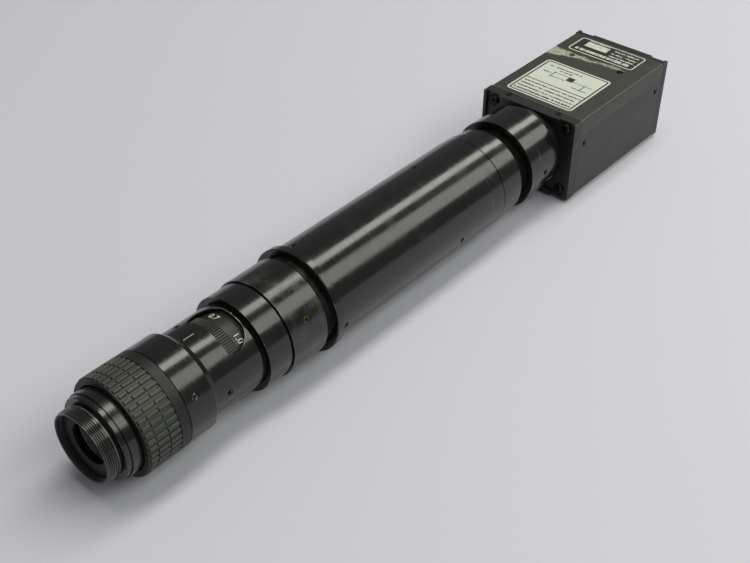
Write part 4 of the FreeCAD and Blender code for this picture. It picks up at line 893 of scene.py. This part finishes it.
class VISION_OT_make_nose(PieceOperator):
    """Model the threaded nose in place of its plain solid"""

    bl_idname = "vision.make_nose"
    bl_label = "Make the Nose"

    def execute(self, context):
        sizes = context.scene.vision_nose
        low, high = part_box("front_nose")
        lens_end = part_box("front_lens")[1].x
        retainer_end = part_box("front_retainer")[1].x
        rim = low.x
        root = sizes.thread_radius - sizes.thread_depth
        land = sizes.thread_radius - sizes.land_drop
        groove = sizes.thread_radius - sizes.groove_depth
        groove_start = rim + sizes.land_end
        neck_start = groove_start + sizes.groove_width
        neck_end = neck_start + sizes.neck_length
        body_radius = node_radius("front_nose")
        bore = sizes.bore_radius
        lens_radius = node_radius("front_lens") + SEAT_GAP
        mesh = bmesh.new()
        spin_outline(mesh, [
            (rim, bore + sizes.edge),
            (rim, root),
            (groove_start - sizes.thread_start, root),
            (groove_start - sizes.thread_start, land),
            (groove_start, land),
            (groove_start, groove),
            (neck_start, groove),
            (neck_start, sizes.neck_radius - sizes.edge),
            (neck_start + sizes.edge, sizes.neck_radius),
            (neck_end, sizes.neck_radius),
            (neck_end, body_radius),
            (high.x, body_radius),
            (high.x, body_radius - sizes.wall),
            (lens_end + sizes.stop_rear, body_radius - sizes.wall),
            (lens_end + sizes.stop_rear, sizes.stop_radius),
            (lens_end + sizes.stop_front, sizes.stop_radius),
            (lens_end + sizes.stop_front, lens_radius),
            (retainer_end, lens_radius),
            (retainer_end, bore),
            (rim + sizes.edge, bore),
        ])
        helical_ridge(mesh, rim + sizes.thread_start, sizes.thread_pitch, sizes.thread_turns,
                      root - sizes.thread_root, sizes.thread_radius)
        helical_ridge(mesh, rim + sizes.bore_thread_start, sizes.bore_thread_pitch, sizes.bore_thread_turns,
                      bore + sizes.bore_thread_root, bore - sizes.bore_thread_depth)
        bmesh.ops.recalc_face_normals(mesh, faces=mesh.faces)
        new_piece("threaded_nose", mesh, "front_cell",
                  nose_metal("black_anodised_nose").material, ["front_nose"], 35)
        return {"FINISHED"}


class VISION_OT_make_grip(PieceOperator):
    """Model the rubber grip with its three rows of moulded ribs"""

    bl_idname = "vision.make_grip"
    bl_label = "Make the Grip"

    def execute(self, context):
        sizes = context.scene.vision_grip
        low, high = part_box("focus_grip")
        radius = node_radius("focus_grip")
        seat = radius - sizes.thickness
        floor = radius - sizes.rib_height
        height = sizes.rib_height + sizes.rib_root
        mesh = bmesh.new()
        spin_outline(mesh, [(low.x, seat), (low.x, floor), (high.x, floor), (high.x, seat)])
        front = low.x
        for row_length in sizes.rows:
            rib = bmesh.new()
            cube(rib, (row_length - sizes.row_gap, sizes.rib_width, height), (0, 0, 0))
            top = [edge for edge in rib.edges if all(vert.co.z > 0 for vert in edge.verts)
                   and edge.verts[0].co.x * edge.verts[1].co.x < 0]
            bmesh.ops.bevel(rib, geom=top, offset=sizes.rib_round, segments=3, profile=0.5,
                            affect="EDGES", material=-1)
            middle = Vector((front + row_length / 2, 0, AXIS.z + radius - height / 2))
            bmesh.ops.translate(rib, vec=middle, verts=rib.verts)
            turn_round(rib, rib.verts, sizes.first_rib)
            repeat_round(rib, sizes.ribs)
            merge_into(mesh, rib)
            front += row_length
        new_piece("ribbed_grip", mesh, "focus_ring", slot_material("grip_rubber"),
                  ["focus_grip"], 30)
        return {"FINISHED"}


FIGURES = ("0.7", "1.0", "1.5", "2.0", "3.0", "4.5")


def figure_angles(sizes):
    """The angle of each magnification on the dial, crowding towards the high end."""
    numbers = [float(figure) for figure in FIGURES]
    whole = math.log(numbers[-1] / numbers[0])
    turn = sizes.last_angle - sizes.first_angle
    return [sizes.first_angle + turn * (math.log(number / numbers[0]) / whole) ** sizes.spacing
            for number in numbers]


def flat_text(text, height):
    """Flat text as a bmesh, centred, as tall as asked."""
    curve = bpy.data.curves.new("figure", "FONT")
    curve.body = text
    curve.size = height / 0.7
    curve.align_x = "CENTER"
    curve.align_y = "CENTER"
    curve.offset = height * 0.02
    writer = bpy.data.objects.new("figure", curve)
    bpy.context.scene.collection.objects.link(writer)
    bpy.context.view_layer.update()
    data = bpy.data.meshes.new_from_object(writer)
    bpy.data.objects.remove(writer)
    bpy.data.curves.remove(curve)
    flat = bmesh.new()
    flat.from_mesh(data)
    bpy.data.meshes.remove(data)
    return flat


def wrap_round_axis(mesh, along, radius, turn):
    """Bends flat (x, y) geometry round the axis: its x runs round, its y along."""
    for vert in mesh.verts:
        round_angle = turn + vert.co.x / radius
        reach = radius + vert.co.z
        vert.co = (along + vert.co.y, -reach * math.sin(round_angle), AXIS.z + reach * math.cos(round_angle))


class VISION_OT_make_zoom_ring(PieceOperator):
    """Model the zoom ring with its knurl, and paint the magnifications on it"""

    bl_idname = "vision.make_zoom_ring"
    bl_label = "Make the Zoom Ring"

    def execute(self, context):
        sizes = context.scene.vision_zoom_ring
        look = context.scene.vision_finish
        low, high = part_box("zoom_ring")
        radius = node_radius("zoom_ring")
        inner = node_radius("cam_tube") + SEAT_GAP
        band_radius = radius - sizes.band_depth
        root = radius - sizes.knurl_depth
        knurl_end = low.x + sizes.knurl_length
        band_end = knurl_end + sizes.band_length
        mesh = bmesh.new()
        spin_outline(mesh, [
            (low.x, inner), (low.x, root), (knurl_end, root), (knurl_end, band_radius),
            (band_end, band_radius), (band_end, radius), (high.x, radius), (high.x, inner),
        ])
        ridge = bmesh.new()
        foot = math.tau * root / sizes.knurls * sizes.knurl_share
        height = sizes.knurl_depth + sizes.knurl_root
        verts = cube(ridge, (sizes.knurl_length - sizes.knurl_gap, foot, height), (0, 0, 0))
        crest = [vert for vert in verts if vert.co.z > 0]
        bmesh.ops.scale(ridge, vec=(sizes.crest_length, sizes.crest_share, 1), verts=crest)
        middle = ((low.x + knurl_end) / 2, 0, AXIS.z + radius - height / 2)
        bmesh.ops.translate(ridge, vec=middle, verts=verts)
        repeat_round(ridge, sizes.knurls)
        merge_into(mesh, ridge)
        finish = knurled_metal("zoom_ring_metal", look, root / MM, radius / MM, knurl_end / MM)
        new_piece("knurled_zoom_ring", mesh, "zoom_ring", finish.material,
                  ["zoom_ring"], 30)

        mesh = bmesh.new()
        for figure, turn in zip(FIGURES, figure_angles(sizes)):
            flat = flat_text(figure, sizes.figure_height)
            extruded = bmesh.ops.extrude_face_region(flat, geom=flat.faces[:])
            raised = [part for part in extruded["geom"] if isinstance(part, bmesh.types.BMVert)]
            bmesh.ops.translate(flat, vec=(0, 0, sizes.figure_depth), verts=raised)
            wrap_round_axis(flat, (knurl_end + band_end) / 2, band_radius, turn)
            merge_into(mesh, flat)
        bmesh.ops.recalc_face_normals(mesh, faces=mesh.faces)
        new_piece("magnification_figures", mesh, "zoom_ring",
                  printed_paint("figure_paint", look.figures).material)
        return {"FINISHED"}


class VISION_OT_make_marks(PieceOperator):
    """Paint the index lines of the focus and zoom scales"""

    bl_idname = "vision.make_marks"
    bl_label = "Make the Index Lines"

    def execute(self, context):
        sizes = context.scene.vision_marks
        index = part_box("front_barrel")[1].x + sizes.index_start
        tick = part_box("rear_ring")[0].x - sizes.window_rear
        coupler_low, coupler_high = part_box("coupler_rear_ring")
        barrel, coupler = sizes.barrel_radius, node_radius("coupler_rear_ring")
        wide, thin = sizes.line_width, sizes.line_width * sizes.tick_share
        mesh = bmesh.new()
        for start, end, radius, turn, width in (
            (index, index + sizes.index_length, barrel, sizes.index_angle, wide),
            (tick, tick + sizes.tick_length, barrel, sizes.tick_angle, thin),
            (coupler_low.x + sizes.coupler_start, coupler_high.x - sizes.coupler_end, coupler,
             sizes.coupler_angle, wide),
        ):
            middle = ((start + end) / 2, 0, AXIS.z + radius)
            verts = cube(mesh, (end - start, width, sizes.line_depth), middle)
            turn_round(mesh, verts, turn)
        paint = printed_paint("line_paint", context.scene.vision_finish.lines).material
        new_piece("index_lines", mesh, "housing", paint)
        return {"FINISHED"}


def spun_screw(head_radius, head_height, shank_radius, shank_length, dome):
    """A screw that points down, its head's underside at 0; a dome is the share of the head that is round."""
    rise = head_height * dome
    rounding = [(head_radius * math.cos(turn), head_height - rise + rise * math.sin(turn))
                for turn in (math.radians(22.5) * step for step in range(4))]
    outline = [(0, -shank_length), (shank_radius, -shank_length), (shank_radius, 0), (head_radius, 0)]
    outline += rounding + [(0, head_height)]
    mesh = bmesh.new()
    corners = [mesh.verts.new((radius, 0, level)) for radius, level in outline]
    edges = [mesh.edges.new(pair) for pair in zip(corners, corners[1:])]
    bmesh.ops.spin(mesh, geom=corners + edges, cent=(0, 0, 0), axis=(0, 0, 1), angle=math.tau,
                   steps=40, use_merge=True)
    bmesh.ops.remove_doubles(mesh, verts=mesh.verts, dist=0.001 * MM)
    bmesh.ops.recalc_face_normals(mesh, faces=mesh.faces)
    return mesh


def cross_recess(head_radius, head_height, sizes):
    """The tapered cross that is cut into a head."""
    reach = head_radius * sizes.recess_share * 2
    width = head_radius * sizes.recess_width * 2
    depth = head_height * sizes.recess_depth
    mesh = bmesh.new()
    for long_side, short_side in ((reach, width), (width, reach)):
        verts = cube(mesh, (long_side, short_side, depth * 2), (0, 0, head_height))
        floor = [vert for vert in verts if vert.co.z < head_height]
        bmesh.ops.scale(mesh, vec=(sizes.recess_taper, sizes.recess_taper, 1), verts=floor)
    return mesh


def cut_shape(body, tool):
    """The mesh of one bmesh with another cut out of it."""
    blank, cutter = (bpy.data.objects.new(name, as_mesh(name, mesh))
                     for name, mesh in (("blank", body), ("cutter", tool)))
    for thing in (blank, cutter):
        bpy.context.scene.collection.objects.link(thing)
    cut = blank.modifiers.new("cut", "BOOLEAN")
    cut.object = cutter
    cut.solver = "EXACT"
    cut.use_self = True
    bpy.context.view_layer.update()
    result = bpy.data.meshes.new_from_object(blank.evaluated_get(bpy.context.evaluated_depsgraph_get()))
    for thing in (blank, cutter):
        data = thing.data
        bpy.data.objects.remove(thing)
        bpy.data.meshes.remove(data)
    return result


class VISION_OT_make_screws(PieceOperator):
    """Model the camera's cross-recessed screws in place of their plain solids"""

    bl_idname = "vision.make_screws"
    bl_label = "Make the Screws"

    def execute(self, context):
        sizes = context.scene.vision_screws
        corner = (sizes.head_radius, sizes.head_height, sizes.head_dome, sizes.shank_radius)
        beside = (sizes.side_head_radius, sizes.side_head_height, sizes.side_head_dome,
                  sizes.side_shank_radius)
        for node, facing, (head_radius, head_height, dome, shank_radius) in (
            ("front_screws", -1, corner), ("rear_screws", 1, corner), ("side_screws", 0, beside),
        ):
            low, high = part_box(node)
            stations = (low.x + head_radius, high.x - head_radius)
            finish = slot_material("dark_steel")
            if facing:
                reach = high.x - low.x
                face = low.x if facing < 0 else high.x
                spots = [((face, side, level), (facing, 0, 0))
                         for side in (low.y + head_radius, high.y - head_radius)
                         for level in (low.z + head_radius, high.z - head_radius)]
            else:
                reach = sizes.side_reach
                middle = (low.z + high.z) / 2
                spots = [((along, side, middle), (0, math.copysign(1, side), 0))
                         for along in stations for side in (low.y, high.y)]
                ring = [head_radius * share / MM for share in (sizes.ring_inside, sizes.ring_outside)]
                finish = ringed_steel("ringed_steel", sum(stations) / 2 / MM,
                                      (stations[1] - stations[0]) / 2 / MM, middle / MM, ring).material
            shape = cut_shape(spun_screw(head_radius, head_height, shank_radius, reach - head_height, dome),
                              cross_recess(head_radius, head_height, sizes))
            mesh = bmesh.new()
            for number, (spot, direction) in enumerate(spots):
                turn = Vector(direction).to_track_quat("Z", "Y").to_matrix().to_4x4()
                twist = Matrix.Rotation(sizes.first_twist + sizes.next_twist * number, 4, "Z")
                lift = Matrix.Translation((0, 0, -head_height))
                copy = bmesh.new()
                copy.from_mesh(shape)
                copy.transform(Matrix.Translation(spot) @ turn @ twist @ lift)
                merge_into(mesh, copy)
            bpy.data.meshes.remove(shape)
            new_piece(f"recessed_{node}", mesh, "housing", finish, [node], 30)
        return {"FINISHED"}


# Places on a label, as shares of its length from the near end and of its width from the left:
# near, far, left, right.
WHITE_FIELDS = (
    (0.40, 0.418, 0.035, 0.965),
    (0.64, 0.75, 0.50, 0.60),
    (0.735, 0.747, 0.26, 0.50),
    (0.62, 0.632, 0.26, 0.50),
    (0.66, 0.672, 0.60, 0.90),
    (0.60, 0.76, 0.27, 0.282),
    (0.52, 0.68, 0.78, 0.792),
)
WHITE_ROWS = (
    (0.075, 0.115, 0.07, 0.93),
    (0.155, 0.185, 0.07, 0.93),
    (0.235, 0.265, 0.07, 0.90),
    (0.315, 0.345, 0.07, 0.94),
    (0.86, 0.885, 0.10, 0.62),
    (0.80, 0.825, 0.30, 0.50),
    (0.68, 0.71, 0.12, 0.26),
    (0.52, 0.54, 0.66, 0.90),
)
BLACK_ROWS = (
    (0.16, 0.30, 0.08, 0.90),
    (0.38, 0.44, 0.55, 0.92),
    (0.56, 0.62, 0.55, 0.92),
    (0.76, 0.82, 0.55, 0.92),
    (0.88, 0.93, 0.14, 0.45),
)
BLACK_PANEL = (0.5, 0.82, 0.14, 0.48)


def label_field(box, near, far, left, right):
    """A rectangle on a label, from shares of its size."""
    low_x, high_x, low_y, high_y = box
    long_side, wide_side = high_x - low_x, high_y - low_y
    return (low_x + long_side * near, low_x + long_side * far,
            high_y - wide_side * right, high_y - wide_side * left)


class VISION_OT_make_labels(PieceOperator):
    """Lay the two blank foil labels on the camera's top cover"""

    bl_idname = "vision.make_labels"
    bl_label = "Make the Labels"

    def execute(self, context):
        sizes = context.scene.vision_labels
        top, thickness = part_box("upper_cover")[1].z, sizes.thickness
        for tone, border, wear, fields, rows, panel in (
            ("white", (1.0, 0.55), 0.1, WHITE_FIELDS, WHITE_ROWS, None),
            ("black", (0.4, 0.45), 0.6, (), BLACK_ROWS, BLACK_PANEL),
        ):
            names = ("paper", "ink", "front", "length", "side", "width")
            ground, ink, start, extent, side, width = (getattr(sizes, f"{tone}_{name}") for name in names)
            low_x, low_y = CAMERA_PLATE + start, side - width / 2
            box = [size / MM for size in (low_x, low_x + extent, low_y, low_y + width)]
            foil = label_foil(f"{tone}_label_foil", box, sizes.corner / MM, ground, ink, border, wear,
                              [label_field(box, *shares) for shares in fields],
                              [label_field(box, *shares) for shares in rows],
                              panel and label_field(box, *panel))
            mesh = bmesh.new()
            cube(mesh, (extent, width, thickness), (low_x + extent / 2, side, top + thickness / 2))
            upright = [edge for edge in mesh.edges
                       if abs(edge.verts[0].co.z - edge.verts[1].co.z) > thickness / 2]
            bmesh.ops.bevel(mesh, geom=upright, offset=sizes.corner, segments=8, profile=0.5,
                            affect="EDGES", material=-1)
            new_piece(f"{tone}_label", mesh, "housing", foil.material)
        return {"FINISHED"}


class VISION_OT_make_stage(PieceOperator):
    """Lay the floor, hang the lamps and place the viewing camera"""

    bl_idname = "vision.make_stage"
    bl_label = "Make the Stage"

    def execute(self, context):
        sizes = context.scene.vision_stage
        scene = context.scene
        scene.view_settings.view_transform = "Standard"

        mesh = bmesh.new()
        bmesh.ops.create_grid(mesh, x_segments=1, y_segments=1, size=sizes.floor_size / 2)
        surface = Finish("floor_paper")
        soft = surface.noise(surface.place(), 0.02, 2.0)
        shade = sizes.floor_colour
        surface.set(Base_Color=surface.mix(shaded(shade, 0.99), shade, soft), Roughness=0.6)
        floor = bpy.data.objects.new("floor", as_mesh("floor", mesh))
        floor.data.materials.append(surface.material)
        scene.collection.objects.link(floor)

        world = bpy.data.worlds.new("studio")
        scene.world = world
        world.use_nodes = True
        background = world.node_tree.nodes["Background"]
        background.inputs["Color"].default_value = (*sizes.sky_colour, 1)
        background.inputs["Strength"].default_value = sizes.sky_strength

        for name in ("wide", "narrow"):
            round_angle, width, watts, tint = (
                getattr(sizes, f"{name}_{size}") for size in ("angle", "width", "power", "tint"))
            lamp = bpy.data.lights.new(f"{name}_lamp", "AREA")
            lamp.shape = "RECTANGLE"
            lamp.size = sizes.lamp_length
            lamp.size_y = width
            lamp.energy = watts
            lamp.color = tint
            holder = bpy.data.objects.new(f"{name}_lamp", lamp)
            side, height = -math.sin(round_angle), math.cos(round_angle)
            holder.location = AXIS + Vector((sizes.lamp_centre, side * sizes.lamp_distance,
                                             height * sizes.lamp_distance))
            holder.rotation_euler = (round_angle, 0, 0)
            scene.collection.objects.link(holder)

        lens = bpy.data.cameras.new("viewing_camera")
        lens.sensor_width = 36
        lens.lens = sizes.focal_length
        viewer = bpy.data.objects.new("viewing_camera", lens)
        viewer.location = sizes.camera_place
        viewer.rotation_euler = sizes.camera_turn
        scene.collection.objects.link(viewer)
        scene.camera = viewer
        return {"FINISHED"}


OPERATORS = (
    VISION_OT_finish_frame,
    VISION_OT_make_nose,
    VISION_OT_make_grip,
    VISION_OT_make_zoom_ring,
    VISION_OT_make_marks,
    VISION_OT_make_screws,
    VISION_OT_make_labels,
    VISION_OT_make_stage,
)


class VISION_PT_sidebar(bpy.types.Panel):
    """The sizes, colours and steps of the machine vision camera"""

    bl_idname = "VISION_PT_sidebar"
    bl_label = "Machine Vision Camera"
    bl_space_type = "VIEW_3D"
    bl_region_type = "UI"
    bl_category = "Vision Camera"

    def draw(self, context):
        for setting, group in SETTINGS.items():
            box = self.layout.box()
            for name in group.__annotations__:
                box.prop(getattr(context.scene, setting), name)
        for operator in OPERATORS:
            self.layout.operator(operator.bl_idname)


def register():
    for group in SETTINGS.values():
        bpy.utils.register_class(group)
    for operator in OPERATORS:
        bpy.utils.register_class(operator)
    bpy.utils.register_class(VISION_PT_sidebar)
    for setting, group in SETTINGS.items():
        setattr(bpy.types.Scene, setting, PointerProperty(type=group))


def unregister():
    for setting in SETTINGS:
        delattr(bpy.types.Scene, setting)
    bpy.utils.unregister_class(VISION_PT_sidebar)
    for operator in reversed(OPERATORS):
        bpy.utils.unregister_class(operator)
    for group in reversed(list(SETTINGS.values())):
        bpy.utils.unregister_class(group)


def main():
    register()
    for operator in OPERATORS:
        family, action = operator.bl_idname.split(".")
        getattr(getattr(bpy.ops, family), action)()


if __name__ == "__main__":
    main()
